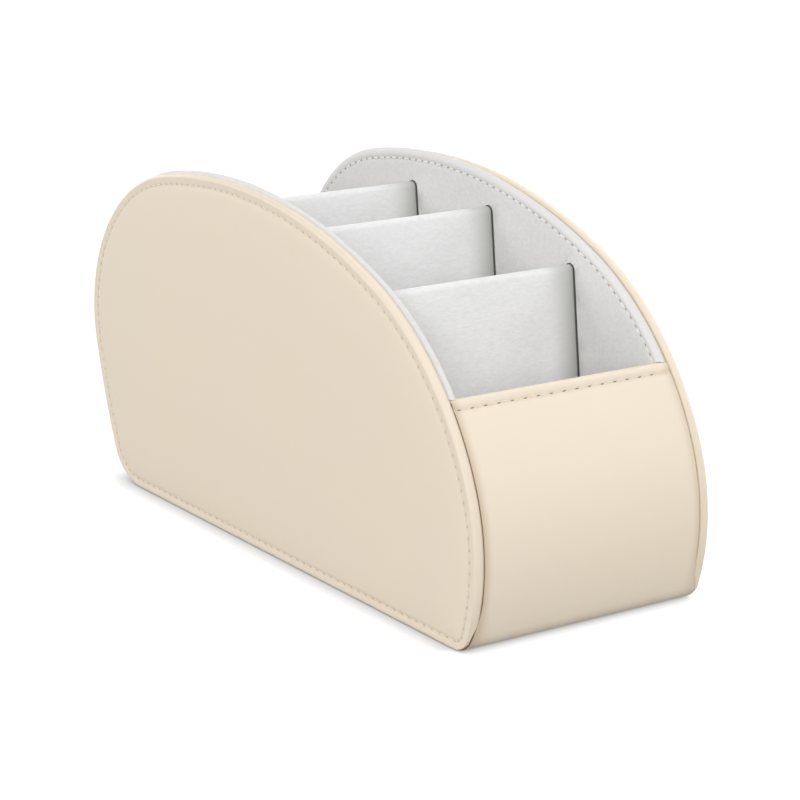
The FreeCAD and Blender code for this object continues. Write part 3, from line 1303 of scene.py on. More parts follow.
def inside(loop: np.ndarray, y: float, z: float) -> bool:
    """Whether a point lies inside a closed loop.

    Args:
        loop: The loop's points, a row of Y and Z each.
        y: The point's Y.
        z: The point's Z.

    Returns:
        True if it does.
    """
    y0, z0 = loop[:, 0], loop[:, 1]
    y1, z1 = np.roll(y0, -1), np.roll(z0, -1)
    spans = (z0 > z) != (z1 > z)
    share = (z - z0[spans]) / (z1[spans] - z0[spans])
    crossing = y0[spans] + share * (y1[spans] - y0[spans])
    return int(np.count_nonzero(crossing > y)) % 2 == 1


@dataclass
class DividerShape:
    """A leaning divider's section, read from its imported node, and the slot that holds its end."""

    number: int
    sizes: BoxSizes
    thickness: float = 4.0
    lean: float = 10.0
    slot_depth: float = 2.6
    slot_front_gap: float = 0.75
    slot_rear_gap: float = 0.1
    slot_top_gap: float = 0.4
    slot_step: float = 4.0
    slot_turns: int = 14

    def __post_init__(self) -> None:
        """Reads the divider's place."""
        low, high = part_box(f"divider_{self.number}_cover")
        self.angle = math.radians(self.lean)
        self.half_length = high.x / MM
        self.foot_y = low.y / MM + self.thickness / 2.0 / math.cos(self.angle)
        rise = high.z / MM - self.sizes.floor_height - self.thickness / 2.0
        self.height = rise / math.cos(self.angle) + self.thickness / 2.0

    def loop(
        self, front: float, rear: float, top: float, foot_z: float, step: float, turns: int
    ) -> np.ndarray:
        """Points from the front foot over the round top to the rear foot.

        Args:
            front: Distance of the front face before the middle plane.
            rear: Distance of the rear face behind the middle plane.
            top: How far the round top reaches above the divider's own.
            foot_z: Level of the foot.
            step: Spacing along the straight faces.
            turns: Number of steps round the top.

        Returns:
            A row of Y and Z for each point.
        """
        along = np.array([math.sin(self.angle), math.cos(self.angle)])
        across = np.array([math.cos(self.angle), -math.sin(self.angle)])
        foot = np.array([self.foot_y, self.sizes.floor_height])
        radius = (front + rear) / 2.0
        middle = (rear - front) / 2.0
        level = self.height + top - radius

        def foot_climb(offset: float) -> float:
            """Distance along the divider at which a face meets the foot's level."""
            lift = foot_z - self.sizes.floor_height
            return (lift + offset * math.sin(self.angle)) / math.cos(self.angle)

        steps = max(2, round(level / step))
        rising = np.linspace(foot_climb(-front), level, steps)
        falling = np.linspace(level, foot_climb(rear), steps)
        bend = np.linspace(math.pi, 0.0, turns + 1)[1:-1]
        first = foot + rising[:, None] * along - front * across
        last = foot + falling[:, None] * along + rear * across
        centre = foot + level * along + middle * across
        crown = centre + radius * (np.cos(bend)[:, None] * across + np.sin(bend)[:, None] * along)
        return np.vstack([first, crown, last])

    def slot(self, grow: float, foot_z: float) -> np.ndarray:
        """The slot's edge in the lining panel.

        Args:
            grow: A margin by which the slot is grown.
            foot_z: Level of its foot.

        Returns:
            A row of Y and Z for each point, from the rear foot to the front foot.
        """
        half = self.thickness / 2.0
        front = half + self.slot_front_gap + grow
        rear = half + self.slot_rear_gap + grow
        top = self.slot_top_gap + grow
        return self.loop(front, rear, top, foot_z, self.slot_step, self.slot_turns)[::-1]


@dataclass
class Divider:
    """One cloth-covered divider."""

    shape: DividerShape
    columns: int = 84
    step: float = 1.6
    turns: int = 16
    foot_lift: float = 0.02
    mouth_steps: tuple[float, ...] = (0.1, 0.3, 0.5, 0.8)
    hidden_shadow_depths: tuple[float, float] = (0.3, 0.5)
    taper_length: float = 7.0
    taper_depth: float = 0.25
    # Painted shade towards the slots.
    shade_length: float = 15.0
    shade_power: float = 1.5
    waver: float = 0.09
    waver_scale: float = 26.0
    crease: float = 50.0

    def cover(self, material: bpy.types.Material) -> bpy.types.Object:
        """Makes the cloth cover.

        Args:
            material: The cloth.

        Returns:
            The placed piece.
        """
        shape = self.shape
        half = shape.thickness / 2.0
        foot_z = shape.sizes.floor_height + self.foot_lift
        section = shape.loop(half, half, 0.0, foot_z, self.step, self.turns)
        even = np.linspace(-shape.half_length, shape.half_length, self.columns)
        mouth = shape.half_length - shape.slot_depth + np.array(self.mouth_steps)
        xs = np.sort(np.concatenate([even, -mouth, mouth]))
        grid = np.zeros((len(section), len(xs), 3))
        grid[:, :, 0] = xs
        grid[:, :, 1:] = section[:, None, :]
        from_slot = shape.half_length - np.abs(xs) - shape.slot_depth
        # Painted shade darkens the cloth towards the slots, and the part inside a slot is painted
        # dark as its shadow.
        shade = 1.0 - ramp(from_slot, 0.0, self.shade_length)
        surface = Surface()
        hidden_shadow = ramp(-from_slot, *self.hidden_shadow_depths)
        marks = {Paint.DENT: shade**self.shade_power, Paint.GAP: hidden_shadow}
        surface.add_grid(grid, marks, close_rows=True)
        for column in (0, len(xs) - 1):
            surface.add(grid[:, column, :], [tuple(range(len(section)))])
        piece = surface.build(f"divider_{shape.number}_cloth", [material], self.crease)
        self._shape(piece)
        return place(piece, "lining_fabric", f"divider_{shape.number}_cover")

    def _shape(self, piece: bpy.types.Object) -> None:
        """Thins the ends, where the cloth is folded over, and draws the cloth in unevenly.

        Args:
            piece: The cloth cover.
        """
        shape = self.shape
        half = shape.thickness / 2.0 * MM
        across = Vector((0.0, math.cos(shape.angle), -math.sin(shape.angle)))
        foot = Vector((0.0, shape.foot_y * MM, shape.sizes.floor_height * MM))
        shift = Vector((shape.number, 0.0, 0.0))
        for vertex in piece.data.vertices:
            share = (vertex.co - foot).dot(across) / half
            from_slot = shape.half_length - shape.slot_depth - abs(vertex.co.x) / MM
            end = float(1.0 - smooth_step(from_slot / self.taper_length))
            pull = 0.5 + 0.5 * noise.noise(vertex.co / (self.waver_scale * MM) + shift)
            depth = pull * self.waver + self.taper_depth * end**2
            vertex.co -= across * share * depth * MM


@dataclass
class LiningPanel:
    """The cloth-covered inner panel of one side, with its rim, its seam and its slots."""

    side: Side
    sizes: BoxSizes
    outline: SideOutline
    dividers: list[DividerShape]
    recess: float = 0.3
    crest_rise: float = 1.2
    crest_start: float = 70.0
    crest_reach: float = 90.0
    back_reach: float = 30.0
    rim_inset: float = 1.6
    rim_steps: int = 15
    # The rim's colour is a painted shade that tones down the light on it.
    rim_shade_insets: tuple[float, float] = (2.3, 3.2)
    seam_inset: float = 3.3
    seam_depth: float = 0.2
    pucker_depth: float = 0.14
    seam_width: float = 0.7
    dent_width: float = 0.5
    dent_between: float = 0.3
    face_insets: tuple[float, ...] = (7.0, 5.6, 4.9, 4.4, 4.0, 3.7, 3.5, 3.3, 3.1, 2.9, 2.6, 2.3)
    stitch_pitch: float = 3.7
    samples_per_stitch: int = 6
    clearance: float = 0.06
    foot_clearance: float = 0.12
    foot_margin: float = 0.01
    edge_samples: int = 60
    hem_round: float = 0.9
    hem_reach: float = 8.0
    slot_lip: float = 0.22
    lip_share: float = 0.3
    field_step: float = 4.0
    hole_lift: float = 0.02
    crease: float = 35.0

    def __post_init__(self) -> None:
        """Counts the stitches of the open rim and finds the floor's level."""
        open_rim = self.outline.back_top - self.outline.front_top
        self.count = round(open_rim / self.stitch_pitch) * self.samples_per_stitch + 1
        self.foot_z = self.sizes.floor_height + self.foot_clearance

    def _place(self, yz: np.ndarray, depths: np.ndarray | float) -> np.ndarray:
        """Points at depths behind the panel's face."""
        x = self.side.value * (self.sizes.bay_half_width + np.broadcast_to(depths, (len(yz),)))
        return np.column_stack([x, yz])

    @property
    def thickness(self) -> float:
        """The panel's thickness."""
        return self.sizes.wall_half_width - self.sizes.bay_half_width

    def _lengths(self, inset: float) -> np.ndarray:
        """Stations along the open rim, whose ends follow the round tops of the hems.

        Args:
            inset: Distance from the outline.

        Returns:
            Distances along the outline.
        """
        first = self.outline.front_top + self.clearance
        last = self.outline.back_top - self.clearance
        plain = np.linspace(first, last, self.count)
        middle = self.sizes.wall_recess + self.sizes.wall_thickness / 2.0
        share = min(1.0, abs(inset - middle) / (self.sizes.wall_thickness / 2.0))
        drop = self.hem_round * (1.0 - math.sqrt(1.0 - share**2))
        at_front = np.clip(1.0 - (plain - first) / self.hem_reach, 0.0, 1.0)
        at_back = np.clip(1.0 - (last - plain) / self.hem_reach, 0.0, 1.0)
        return plain - drop * at_front + drop * at_back

    def _rim_points(self, inset: float) -> np.ndarray:
        """Points along the open rim, which stands higher towards the crest and the rear.

        Args:
            inset: Distance from the outline.

        Returns:
            A row of Y and Z for each station.
        """
        lengths = self._lengths(inset)
        past = lengths - self.outline.front_top - self.crest_start
        climb = smooth_step(past / self.crest_reach)
        climb = climb * smooth_step((self.outline.back_top - lengths) / self.back_reach)
        widest = self.face_insets[0]
        share = np.clip((widest - inset) / (widest - self.recess), 0.0, 1.0)
        return self.outline.inset_points(lengths, inset - self.crest_rise * climb * share)

    def _face_depth(self, inset: float, pucker: np.ndarray | float) -> np.ndarray:
        """Depth of the face behind the panel's plane at a seam."""
        valley = bell(inset - self.seam_inset, self.seam_width)
        return valley * (self.seam_depth + self.pucker_depth * pucker)

    def _profile(self) -> list[Step]:
        """Steps across the rim, from the face over the crest to the back.

        Returns:
            The inset and depth of each step, without a depth where the face's own rule holds.
        """
        steps: list[Step] = [(inset, None) for inset in self.face_insets]
        for angle in math.pi * np.linspace(0.0, 1.0, self.rim_steps):
            inset = self.recess + self.rim_inset * (1.0 - math.sin(angle))
            steps.append((inset, self.thickness / 2.0 * (1.0 - math.cos(angle))))
        steps += [(inset, self.thickness) for inset in reversed(self.face_insets)]
        return steps

    def _wall_edge(self, first: float, last: float) -> np.ndarray:
        """The face's edge along one curved wall, above the floor.

        Args:
            first: Distance along the outline at which it starts.
            last: Distance at which it ends.

        Returns:
            A row of Y and Z for each point.
        """
        lengths = np.linspace(first, last, self.edge_samples)
        edge = self.outline.inset_points(lengths, self.foot_z)
        return edge[edge[:, 1] > self.foot_z + self.foot_margin]

    def _limits(self) -> np.ndarray:
        """The face's edge from the back of the rim down, along the floor, and up the front.

        Returns:
            A row of Y and Z for each point, with the slots' edges in their places.
        """
        lengths = self._lengths(self.face_insets[0])
        rear = self._wall_edge(lengths[-1], self.outline.arcs_length)
        front = self._wall_edge(0.0, lengths[0])
        slots = [divider.slot(self.slot_lip, self.foot_z) for divider in reversed(self.dividers)]
        return np.vstack([rear, *slots, front])

    def cover(
        self, cloth: bpy.types.Material, slot_edge: bpy.types.Material
    ) -> bpy.types.Object:
        """Makes the cloth cover.

        Args:
            cloth: The lining cloth.
            slot_edge: The painted shadow inside the slots.

        Returns:
            The placed piece.
        """
        pucker = wave(np.arange(self.count) / self.samples_per_stitch)
        between = self.dent_between
        columns = []
        marks = []
        for inset, depth in self._profile():
            # The rim's painted shade, and painted shade in the seam's crease.
            mark: Marks = {Paint.STAIN: 1.0 - ramp(inset, *self.rim_shade_insets)}
            if depth is None:
                depth = self._face_depth(inset, pucker)
                dent = bell(inset - self.seam_inset, self.dent_width)
                mark[Paint.DENT] = dent * (between + (1.0 - between) * pucker)
            columns.append(self._place(self._rim_points(inset), depth))
            marks.append(mark)
        grid = np.stack(columns, axis=1)
        surface = Surface()
        surface.add_grid(grid, stack_marks(marks, self.count, 1))
        surface.close_ends(grid)
        limits = self._limits()
        face_loop = np.vstack([self._rim_points(self.face_insets[0]), limits])
        points, faces = fill_polygon(face_loop, self.field_step)
        closed = np.vstack([face_loop[self.count - 1 :], face_loop[:1]])
        for depth in (0.0, self.thickness):
            surface.add(self._place(points, depth), faces)
        edges = [self._place(closed, depth) for depth in (0.0, self.thickness)]
        surface.add_grid(np.stack(edges, axis=1))
        self._add_slots(surface)
        name = self.side.label
        piece = surface.build(f"{name}_lining_cloth", [cloth, slot_edge], self.crease)
        place(piece, "lining_fabric", f"{name}_lining_cover")
        self._declare(piece, np.vstack([self._rim_points(self.recess), limits]))
        return piece

    def _declare(self, piece: bpy.types.Object, loop: np.ndarray) -> None:
        """Works out the area inside the edge of the cloth's face, which nothing uses.

        Args:
            piece: The cloth; not used.
            loop: The edge of its face.
        """
        after = np.roll(loop, -1, axis=0)
        area = abs(float(np.sum(loop[:, 0] * after[:, 1] - after[:, 0] * loop[:, 1]))) / 2.0

    def _add_slots(self, surface: Surface) -> None:
        """Lines each slot with a turned-in edge in painted shade, and dark walls and a dark floor of
        painted shadow.

        Args:
            surface: The cover so far.
        """
        lip = self.slot_lip
        turned = lip * self.lip_share
        for divider in reversed(self.dividers):
            levels = ((lip, 0.0), (turned, turned), (0.0, lip))
            loops = [self._place(divider.slot(grow, self.foot_z), level) for grow, level in levels]
            surface.add_grid(np.stack(loops, axis=1), {Paint.DENT: 1.0})
            inner = divider.slot(0.0, self.foot_z)
            walls = [self._place(inner, level) for level in (lip, divider.slot_depth)]
            surface.add_grid(np.stack(walls, axis=1), slot=1)
            surface.add(walls[1], [tuple(range(len(inner)))], slot=1)

    def seam(self) -> StitchRun:
        """The stitches along the rim.

        Returns:
            The open row of stitches.
        """
        yz = self._rim_points(self.seam_inset)[:: self.samples_per_stitch]
        depth = float(self._face_depth(self.seam_inset, 1.0))
        return StitchRun(
            f"{self.side.label}_lining_seam",
            self._place(yz, depth - self.hole_lift),
            np.tile([-self.side.value, 0.0, 0.0], (len(yz), 1)),
            False,
            thread_radius=0.26,
            slant=0.1,
            rise=0.12,
            gap_share=0.16,
            hole_length=0.7,
            hole_width=0.55,
        )


@dataclass
class CurvedWall:
    """The leather and the lining of the front or the back wall.

    The leather runs from the inner hem over the rolled top and down the face to the tuck.
    """

    end: End
    sizes: BoxSizes
    outline: SideOutline
    leather: float = 0.7
    hem_width: float = 12.0
    tuck_width: float = 14.0
    hem_rows: int = 8
    hem_end: float = 0.4
    top_rise: float = 1.9
    top_rows: int = 17
    face_start: float = 8.0
    face_rows: int = 46
    tuck_start: float = 1.0
    tuck_rows: int = 8
    seam_drop: float = 4.2
    seam_depth: float = 0.42
    pucker_depth: float = 0.12
    seam_width: float = 0.8
    dent_width: float = 0.6
    dent_between: float = 0.4
    roll: float = 0.32
    roll_drop: float = 1.9
    roll_width: float = 1.2
    edge_width: float = 0.8
    edge_drop: float = 0.45
    edge_hold: float = 0.8
    edge_steps: tuple[float, ...] = (0.0, 0.04, 0.12, 0.24, 0.4, 0.6, 0.8, 1.0, 1.4, 1.9, 2.6)
    edge_reach: float = 2.8
    face_steps: tuple[float, ...] = (
        2.2, 2.6, 3.0, 3.3, 3.6, 3.85, 4.05, 4.2, 4.35, 4.6, 4.9, 5.3, 5.8, 6.6,
    )
    under_reach: float = 4.0
    below_top: tuple[float, float] = (0.3, 2.5)
    # Painted shade beside the rims, stronger on the near side and wider at the bottom corners, and
    # painted shadow right at the edge.
    stain_width: float = 4.8
    stain_spread: float = 0.8
    stain_power: float = 1.5
    near_stain: float = 0.9
    far_stain: float = 0.5
    gap_width: float = 0.55
    gap_blend: tuple[float, float] = (0.6, 1.0)
    far_gap: float = 0.25
    corner_height: float = 22.0
    corner_lap: float = 3.2
    corner_reach: float = 7.0
    corner_fill: float = 0.4
    corner_hold: float = 0.5
    corner_end: float = 8.0
    corner_fade: float = 6.0
    stitch_pitch: float = 5.3
    samples_per_stitch: int = 8
    hole_lift: float = 0.03
    lining_gap: float = 0.02
    lining_start: float = 0.15
    lining_skin: float = 0.05
    lining_columns: int = 50
    lining_rows: int = 60

    @property
    def top(self) -> float:
        """Distance along the outline to the wall's top."""
        return self.outline.front_top if self.end is End.FRONT else self.outline.back_top

    @property
    def height(self) -> float:
        """Distance along the outline from the wall's top to the flat base."""
        return self.top if self.end is End.FRONT else self.outline.arcs_length - self.top

    @property
    def stitch_count(self) -> int:
        """How many stitches the hem has."""
        return round(2.0 * self.sizes.wall_half_width / self.stitch_pitch)

    def _columns(self) -> tuple[np.ndarray, np.ndarray]:
        """Finds the columns, which are close together at both edges.

        Returns:
            Places across the wall, and their pucker values.
        """
        half = self.sizes.wall_half_width
        count = self.stitch_count * self.samples_per_stitch
        even = np.linspace(-half, half, count + 1)
        edge = half - self.edge_width * np.array(self.edge_steps)
        inner = even[np.abs(even) < half - self.edge_width * self.edge_reach]
        xs = np.sort(np.concatenate([-edge, inner, edge]))
        return xs, wave((xs + half) / (2.0 * half) * self.stitch_count - 0.5)

    def _path(self, skin: float) -> list[PathStep]:
        """The section of the leather, from the inner hem over the top to under the base.

        Args:
            skin: How far the path lies inside the leather's outer surface.

        Returns:
            Distance down from the top, inset, and whether it faces out, for each step.
        """
        half = self.sizes.wall_thickness / 2.0
        middle = self.sizes.wall_recess + half
        path: list[PathStep] = []
        for down in np.linspace(self.hem_width, self.top_rise + self.hem_end, self.hem_rows):
            path.append((float(down), middle + half - skin, False))
        for angle in np.linspace(0.0, math.pi, self.top_rows):
            inset = middle + (half - skin) * math.cos(angle)
            down = self.top_rise - (self.top_rise - skin) * math.sin(angle)
            path.append((down, inset, angle > math.pi / 2.0))
        below = np.linspace(self.face_start, self.height, self.face_rows)
        under = np.linspace(self.tuck_start, self.tuck_width, self.tuck_rows)
        for down in (*self.face_steps, *below, *(self.height + under)):
            path.append((float(down), self.sizes.wall_recess + skin, True))
        return path

    def _shape(self, down: float, outer: bool, pucker: np.ndarray, xs: np.ndarray) -> np.ndarray:
        """How far the leather's outer surface lies below its plain section.

        Args:
            down: Distance down from the top.
            outer: Whether the step is on the outer face.
            pucker: 1 at a needle hole and 0 midway between two.
            xs: Places across the wall.

        Returns:
            The extra inset for each place.
        """
        if not outer:
            return np.zeros(len(xs))
        beside = np.abs(xs) - (self.sizes.wall_half_width - self.edge_width)
        edge = np.clip(beside / self.edge_width, 0.0, 1.0)
        corner = self._corner_share(down)
        rounded = self.edge_drop * (1.0 - np.sqrt(np.clip(1.0 - edge**2, 0.0, 1.0)))
        drop = rounded * (1.0 - self.corner_hold * corner) - self.corner_fill * corner
        under = smooth_step((down - self.height + self.under_reach) / self.under_reach)
        valley = bell(down - self.seam_drop, self.seam_width)
        pressed = valley * (self.seam_depth + self.pucker_depth * pucker)
        rolled = self.roll * bell(down - self.roll_drop, self.roll_width)
        return (pressed - rolled) * (1.0 - self.edge_hold * edge) + drop * (1.0 - under)

    def _corner_share(self, down: float) -> float:
        """How near a row is to the bottom corners, where the leather laps over the rims.

        Args:
            down: Distance down from the top.

        Returns:
            The share, from 0 to 1.
        """
        climb = smooth_step((down - self.height + self.corner_height) / self.corner_height)
        return float(
            climb * smooth_step((self.height + self.corner_end - down) / self.corner_fade)
        )

    def _marks(self, down: float, outer: bool, pucker: np.ndarray, xs: np.ndarray) -> Marks:
        """The painted shade of the hem seam's crease, and the painted shade and shadow beside the
        rims.

        Args:
            down: Distance down from the top.
            outer: Whether the row is on the outer face.
            pucker: 1 at a needle hole and 0 midway between two.
            xs: Places across the wall.

        Returns:
            The share of each mark at each place.
        """
        if not outer:
            return {}
        # Painted shade and shadow beside the rims, stronger on the near side.
        near = xs < 0.0
        from_edge = self.sizes.wall_half_width - np.abs(xs)
        below_top = ramp(down, *self.below_top)
        dent = bell(down - self.seam_drop, self.dent_width)
        width = self.stain_width * (1.0 + self.stain_spread * self._corner_share(down))
        stain = np.where(near, self.near_stain, self.far_stain) * below_top
        gap = np.where(near, 1.0, self.far_gap) * below_top
        return {
            Paint.DENT: dent * (self.dent_between + (1.0 - self.dent_between) * pucker),
            Paint.STAIN: stain * (1.0 - smooth_step(from_edge / width)) ** self.stain_power,
            Paint.GAP: gap * (1.0 - ramp(from_edge / self.gap_width, *self.gap_blend)),
        }

    def cover(self, material: bpy.types.Material) -> bpy.types.Object:
        """Makes the leather cover.

        Args:
            material: The leather.

        Returns:
            The placed piece.
        """
        xs, pucker = self._columns()
        from_edge = self.sizes.wall_half_width - np.abs(xs)
        beside = np.sign(xs) * np.clip(1.0 - from_edge / self.corner_reach, 0.0, 1.0)
        rows = []
        marks = []
        for down, inset, outer in self._path(0.0):
            lap = self.corner_lap * self._corner_share(down) if outer else 0.0
            insets = inset + self._shape(down, outer, pucker, xs)
            rows.append(self._row(down, insets, xs + lap * beside))
            marks.append(self._marks(down, outer, pucker, xs))
        for down, inset, _ in reversed(self._path(self.leather)):
            rows.append(self._row(down, inset, xs))
            marks.append({})
        grid = np.stack(rows)
        surface = Surface()
        surface.add_grid(grid, stack_marks(marks, len(xs), 0), close_rows=True)
        surface.close_ends(grid.transpose(1, 0, 2))
        piece = surface.build(f"{self.end.label}_wall_leather", [material], CREASE)
        place(piece, "cream_leather", f"{self.end.label}_cover")
        width = 2.0 * self.sizes.wall_half_width
        self._declare(piece, width, self._path(self.leather / 2.0), "foam")
        return piece

    def _declare(
        self, piece: bpy.types.Object, width: float, path: list[PathStep], under: str
    ) -> None:
        """Works out and logs the flat size of a sheet stretched over the wall.

        Args:
            piece: The sheet.
            width: Its flat width.
            path: The section of the sheet's middle.
            under: The last word of the node that it lies on; not used.
        """
        points = np.vstack([self._row(down, inset, np.zeros(1)) for down, inset, _ in path])
        length = float(np.linalg.norm(np.diff(points, axis=0), axis=1).sum())
        flat = (width * MM, length * MM)
        LOG.info("%s: cut %.1f by %.1f mm", piece.name, width, length)

    def _row(self, down: float, insets: np.ndarray | float, xs: np.ndarray) -> np.ndarray:
        """Points across the wall.

        Args:
            down: Distance down from the wall's top.
            insets: Distances from the outline.
            xs: Places across the wall.

        Returns:
            A row of X, Y and Z for each place.
        """
        length = self.top + self.end.value * down
        yz = self.outline.inset_points(np.full(len(xs), length), insets)
        return np.column_stack([xs, yz])

    def seam(self) -> StitchRun:
        """The stitches of the hem.

        Returns:
            The open row of stitches.
        """
        half = self.sizes.wall_half_width
        count = self.stitch_count
        xs = (np.arange(count) + 0.5) / count * 2.0 * half - half
        inset = self.sizes.wall_recess + self.seam_depth + self.pucker_depth - self.hole_lift
        length = np.full(count, self.top + self.end.value * self.seam_drop)
        inwards = self.outline.stations(length)[1]
        return StitchRun(
            f"{self.end.label}_hem_seam",
            self._row(self.seam_drop, inset, xs),
            np.column_stack([np.zeros(count), -inwards]),
            False,
            thread_radius=0.28,
            slant=0.2,
            rise=0.1,
            gap_share=0.2,
            hole_length=1.9,
            hole_width=0.6,
            hole_slant=0.12,
        )

    def lining(self, material: bpy.types.Material) -> bpy.types.Object:
        """Makes the cloth on the wall's inner face.

        Args:
            material: The lining cloth.

        Returns:
            The placed piece.
        """
        half = self.sizes.bay_half_width - self.lining_gap
        face = self.sizes.floor_height
        back = face - self.leather + self.lining_skin
        xs = np.linspace(-half, half, self.lining_columns)
        start = self.hem_width + self.lining_start
        downs = [float(down) for down in np.linspace(start, self.height, self.lining_rows)]
        rows = [self._row(down, face, xs) for down in downs]
        rows += [self._row(down, back, xs) for down in reversed(downs)]
        grid = np.stack(rows)
        surface = Surface()
        surface.add_grid(grid, close_rows=True)
        surface.close_ends(grid.transpose(1, 0, 2))
        piece = surface.build(f"{self.end.label}_wall_lining_cloth", [material], CREASE)
        place(piece, "lining_fabric", f"{self.end.label}_lining")
        middle = face - self.leather / 2.0
        self._declare(piece, 2.0 * half, [(down, middle, False) for down in downs], "board")
        return piece


@dataclass
class FloorLining:
    """The cloth on the floor of the compartments."""

    sizes: BoxSizes
    thickness: float = 0.65
    lift: float = 0.02
    side_gap: float = 0.05
    columns: int = 40
    rows: int = 70

    def cover(self, material: bpy.types.Material) -> bpy.types.Object:
        """Makes the cloth.

        Args:
            material: The lining cloth.

        Returns:
            The placed piece.
        """
        low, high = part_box("floor_lining")
        half = self.sizes.wall_half_width - self.side_gap
        top = high.z / MM - self.lift
        levels = (top, top - self.thickness)
        grid = np.zeros((self.columns, self.rows, 3))
        grid[:, :, 0] = np.linspace(-half, half, self.columns)[:, None]
        grid[:, :, 1] = np.linspace(low.y / MM, high.y / MM, self.rows)
        surface = Surface()
        for level in levels:
            grid[:, :, 2] = level
            surface.add_grid(grid.copy())
        for edge in (grid[0, :, :2], grid[:, -1, :2], grid[-1, ::-1, :2], grid[::-1, 0, :2]):
            sides = [np.column_stack([edge, np.full(len(edge), level)]) for level in levels]
            surface.add_grid(np.stack(sides, axis=1))
        piece = surface.build("floor_lining_cloth", [material], CREASE)
        place(piece, "lining_fabric", "floor_lining")
        flat = (2.0 * half * MM, high.y - low.y)
        return piece


@dataclass(frozen=True)
class Lamp:
    """A soft round lamp aimed at the box, which doesn't show in the picture."""

    name: str
    place: Vec3
    size: float
    power: float

    def hang(self, target: Vector) -> bpy.types.Object:
        """Adds the lamp.

        Args:
            target: Where it aims.

        Returns:
            The lamp's object.
        """
        data = bpy.data.lights.new(self.name, "AREA")
        data.shape = "DISK"
        data.size = self.size
        data.energy = self.power
        lamp = bpy.data.objects.new(self.name, data)
        lamp.location = self.place
        lamp.visible_camera = False
        lamp.rotation_mode = "QUATERNION"
        lamp.rotation_quaternion = (target - lamp.location).to_track_quat("-Z", "Y")
        bpy.context.scene.collection.objects.link(lamp)
        return lamp


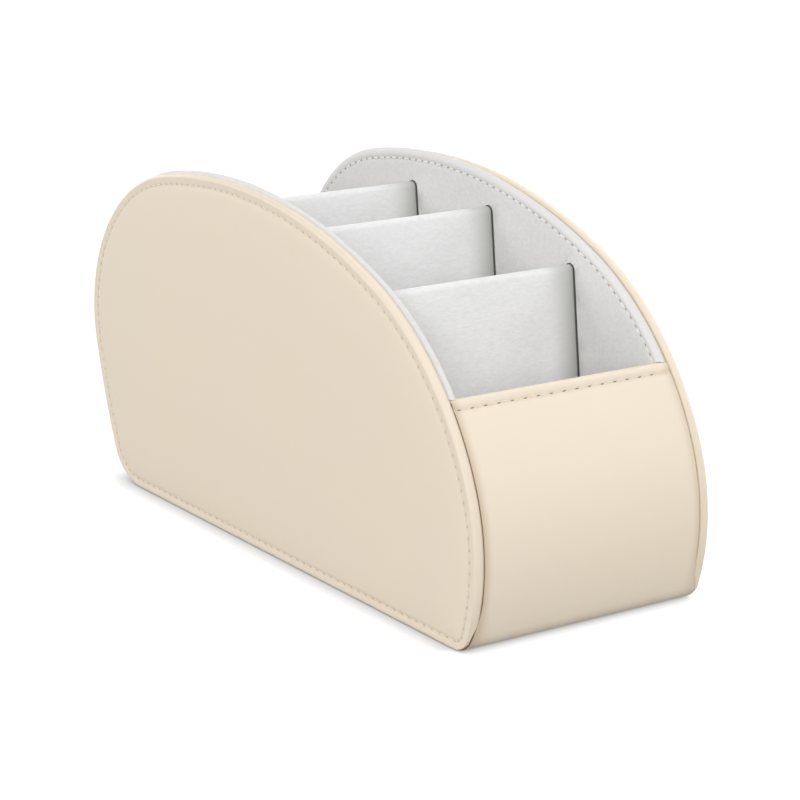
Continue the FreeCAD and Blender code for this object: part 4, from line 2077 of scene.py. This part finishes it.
@dataclass
class Studio:
    """The white floor, the soft light and the camera."""

    eye: Vec3 = (-0.60275, -0.76227, 0.34379)
    yaw: float = 38.598
    pitch: float = 16.990
    roll: float = 2.999
    lens: float = 133.755
    sensor: float = 36.0
    nearest: float = 0.01
    farthest: float = 50.0
    aim: Vec3 = (0.0, 0.0, 0.06)
    floor_radius: float = 8.0
    floor_sides: int = 96
    floor_bounce: float = 0.4
    shadow_share: float = 0.24
    open_glow: float = 0.88
    # The floor's glow: a painted contact shadow from contact_glow by the box to open_glow in the
    # open, and a painted light in front of the front wall.
    contact_glow: float = 0.12
    contact_reach: float = 0.0085
    contact_samples: int = 16
    front_edge: float = -0.099
    front_steepness: float = 180.0
    front_painted_light: float = 0.38
    ambient: float = 0.12
    lamps: tuple[Lamp, ...] = (
        Lamp("camera_side_lamp", (-1.6, -1.6, 1.0), 1.4, 31.1),
        Lamp("front_high_lamp", (0.1, -1.5, 2.0), 1.4, 14.0),
        Lamp("left_high_lamp", (-1.7, -0.1, 1.9), 1.4, 6.4),
        Lamp("left_back_lamp", (-1.6, 1.3, 1.2), 1.4, 18.4),
        Lamp("right_front_lamp", (1.7, -1.2, 1.2), 1.4, 14.4),
        Lamp("right_back_lamp", (1.8, 0.9, 1.3), 1.4, 15.0),
        Lamp("right_low_lamp", (2.3, 0.1, 0.45), 1.0, 10.5),
        Lamp("back_low_lamp", (0.3, 2.3, 0.4), 1.0, 14.0),
    )

    def build(self) -> None:
        """Sets up everything around the box."""
        bpy.context.scene.view_settings.view_transform = "Standard"
        self._camera()
        self._floor()
        self._world()
        for lamp in self.lamps:
            lamp.hang(Vector(self.aim))

    def _camera(self) -> None:
        """Places the camera at the photograph's viewpoint."""
        yaw, pitch, roll = (math.radians(angle) for angle in (self.yaw, self.pitch, self.roll))
        forward = Vector(
            (math.sin(yaw) * math.cos(pitch), math.cos(yaw) * math.cos(pitch), -math.sin(pitch))
        )
        level = Vector((math.cos(yaw), -math.sin(yaw), 0.0))
        upright = level.cross(forward)
        right = math.cos(roll) * level + math.sin(roll) * upright
        up = math.cos(roll) * upright - math.sin(roll) * level
        data = bpy.data.cameras.new("camera")
        data.lens = self.lens
        data.sensor_width = self.sensor
        data.clip_start = self.nearest
        data.clip_end = self.farthest
        camera = bpy.data.objects.new("camera", data)
        turn = Matrix((right, up, -forward)).transposed().to_4x4()
        camera.matrix_world = Matrix.Translation(Vector(self.eye)) @ turn
        bpy.context.scene.collection.objects.link(camera)
        bpy.context.scene.camera = camera

    def _floor(self) -> None:
        """Adds a near-white floor that keeps a soft shadow, with a painted contact shadow and a
        painted light in its glow.
        """
        mesh = bpy.data.meshes.new("floor")
        work = bmesh.new()
        bmesh.ops.create_circle(
            work, cap_ends=True, radius=self.floor_radius, segments=self.floor_sides
        )
        work.to_mesh(mesh)
        work.free()
        mesh.materials.append(self._floor_finish())
        floor = bpy.data.objects.new("floor", mesh)
        bpy.context.scene.collection.objects.link(floor)

    def _floor_finish(self) -> bpy.types.Material:
        """Makes the floor's material: a near-white glow with a dark painted contact shadow under the
        box from an occlusion test and a painted light in front of the front wall, over a diffuse
        part that keeps the box's shadow.

        Returns:
            The material.
        """
        graph = NodeGraph.of_material("white_floor")
        open_share = graph.node(
            "ShaderNodeAmbientOcclusion",
            {"samples": self.contact_samples},
            {"Distance": self.contact_reach},
            "AO",
        )
        # Painted light: the glow is lifted on the floor in front of the front wall.
        depth = graph.vector("DOT_PRODUCT", graph.coordinates(), (0.0, 1.0, 0.0), 1)
        before = ((self.front_edge - depth) * self.front_steepness).clamped()
        share = (open_share + before * self.front_painted_light).clamped()
        tone = graph.mix(share, grey(self.contact_glow), grey(self.open_glow))
        glow = graph.node("ShaderNodeEmission", {}, {"Color": tone, "Strength": 1.0})
        shade = graph.node("ShaderNodeBsdfDiffuse", {}, {"Color": grey(self.shadow_share)})
        bounce = graph.node("ShaderNodeBsdfDiffuse", {}, {"Color": grey(self.floor_bounce)})
        shown = graph.node("ShaderNodeAddShader", {}, {0: shade, 1: glow})
        mixed = graph.node("ShaderNodeMixShader", {}, {0: graph.seen(), 1: bounce, 2: shown})
        return graph.end(mixed)

    def _world(self) -> None:
        """Makes a white surround whose light on the box is soft."""
        world = bpy.data.worlds.new("surround")
        graph = NodeGraph(world)
        soft, white = (
            graph.node("ShaderNodeBackground", {}, {"Color": grey(1.0), "Strength": strength})
            for strength in (self.ambient, 1.0)
        )
        graph.end(graph.node("ShaderNodeMixShader", {}, {0: graph.seen(), 1: soft, 2: white}))
        bpy.context.scene.world = world


def grey(level: float) -> Rgba:
    """A grey of this linear level."""
    return level, level, level, 1.0


def corners(box: tuple[Vector, Vector]) -> list[list[float]]:
    """A box as plain lists of numbers."""
    return [list(corner) for corner in box]


def main() -> None:
    """Builds the box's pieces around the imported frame."""
    logging.basicConfig(level=logging.INFO, format="%(message)s")
    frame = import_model()
    Studio().build()
    finishes = Wardrobe()
    finishes.dress_nodes(frame["nodes"])
    sizes = BoxSizes.from_frame()
    outline = SideOutline()
    dividers = [DividerShape(number, sizes) for number in (1, 2, 3)]
    for side in Side:
        name = side.label
        panel = SidePanel(side, sizes, outline)
        panel.cover(finishes.leather)
        seam = panel.seam()
        seam.sew(finishes.leather_thread, finishes.leather_hole, f"{name}_side_seam_thread")
        lining = LiningPanel(side, sizes, outline, dividers)
        lining.cover(finishes.panel_cloth, finishes.slot_edge)
        seam = lining.seam()
        seam.sew(finishes.lining_thread, finishes.lining_hole, f"{name}_lining_seam_thread")
    for end in End:
        wall = CurvedWall(end, sizes, outline)
        wall.cover(finishes.leather)
        wall.lining(finishes.panel_cloth)
        seam = wall.seam()
        seam.sew(finishes.leather_thread, finishes.hem_hole, f"{end.label}_hem_thread")
    FloorLining(sizes).cover(finishes.panel_cloth)
    for shape in dividers:
        Divider(shape).cover(finishes.divider_cloth)


if __name__ == "__main__":
    main()
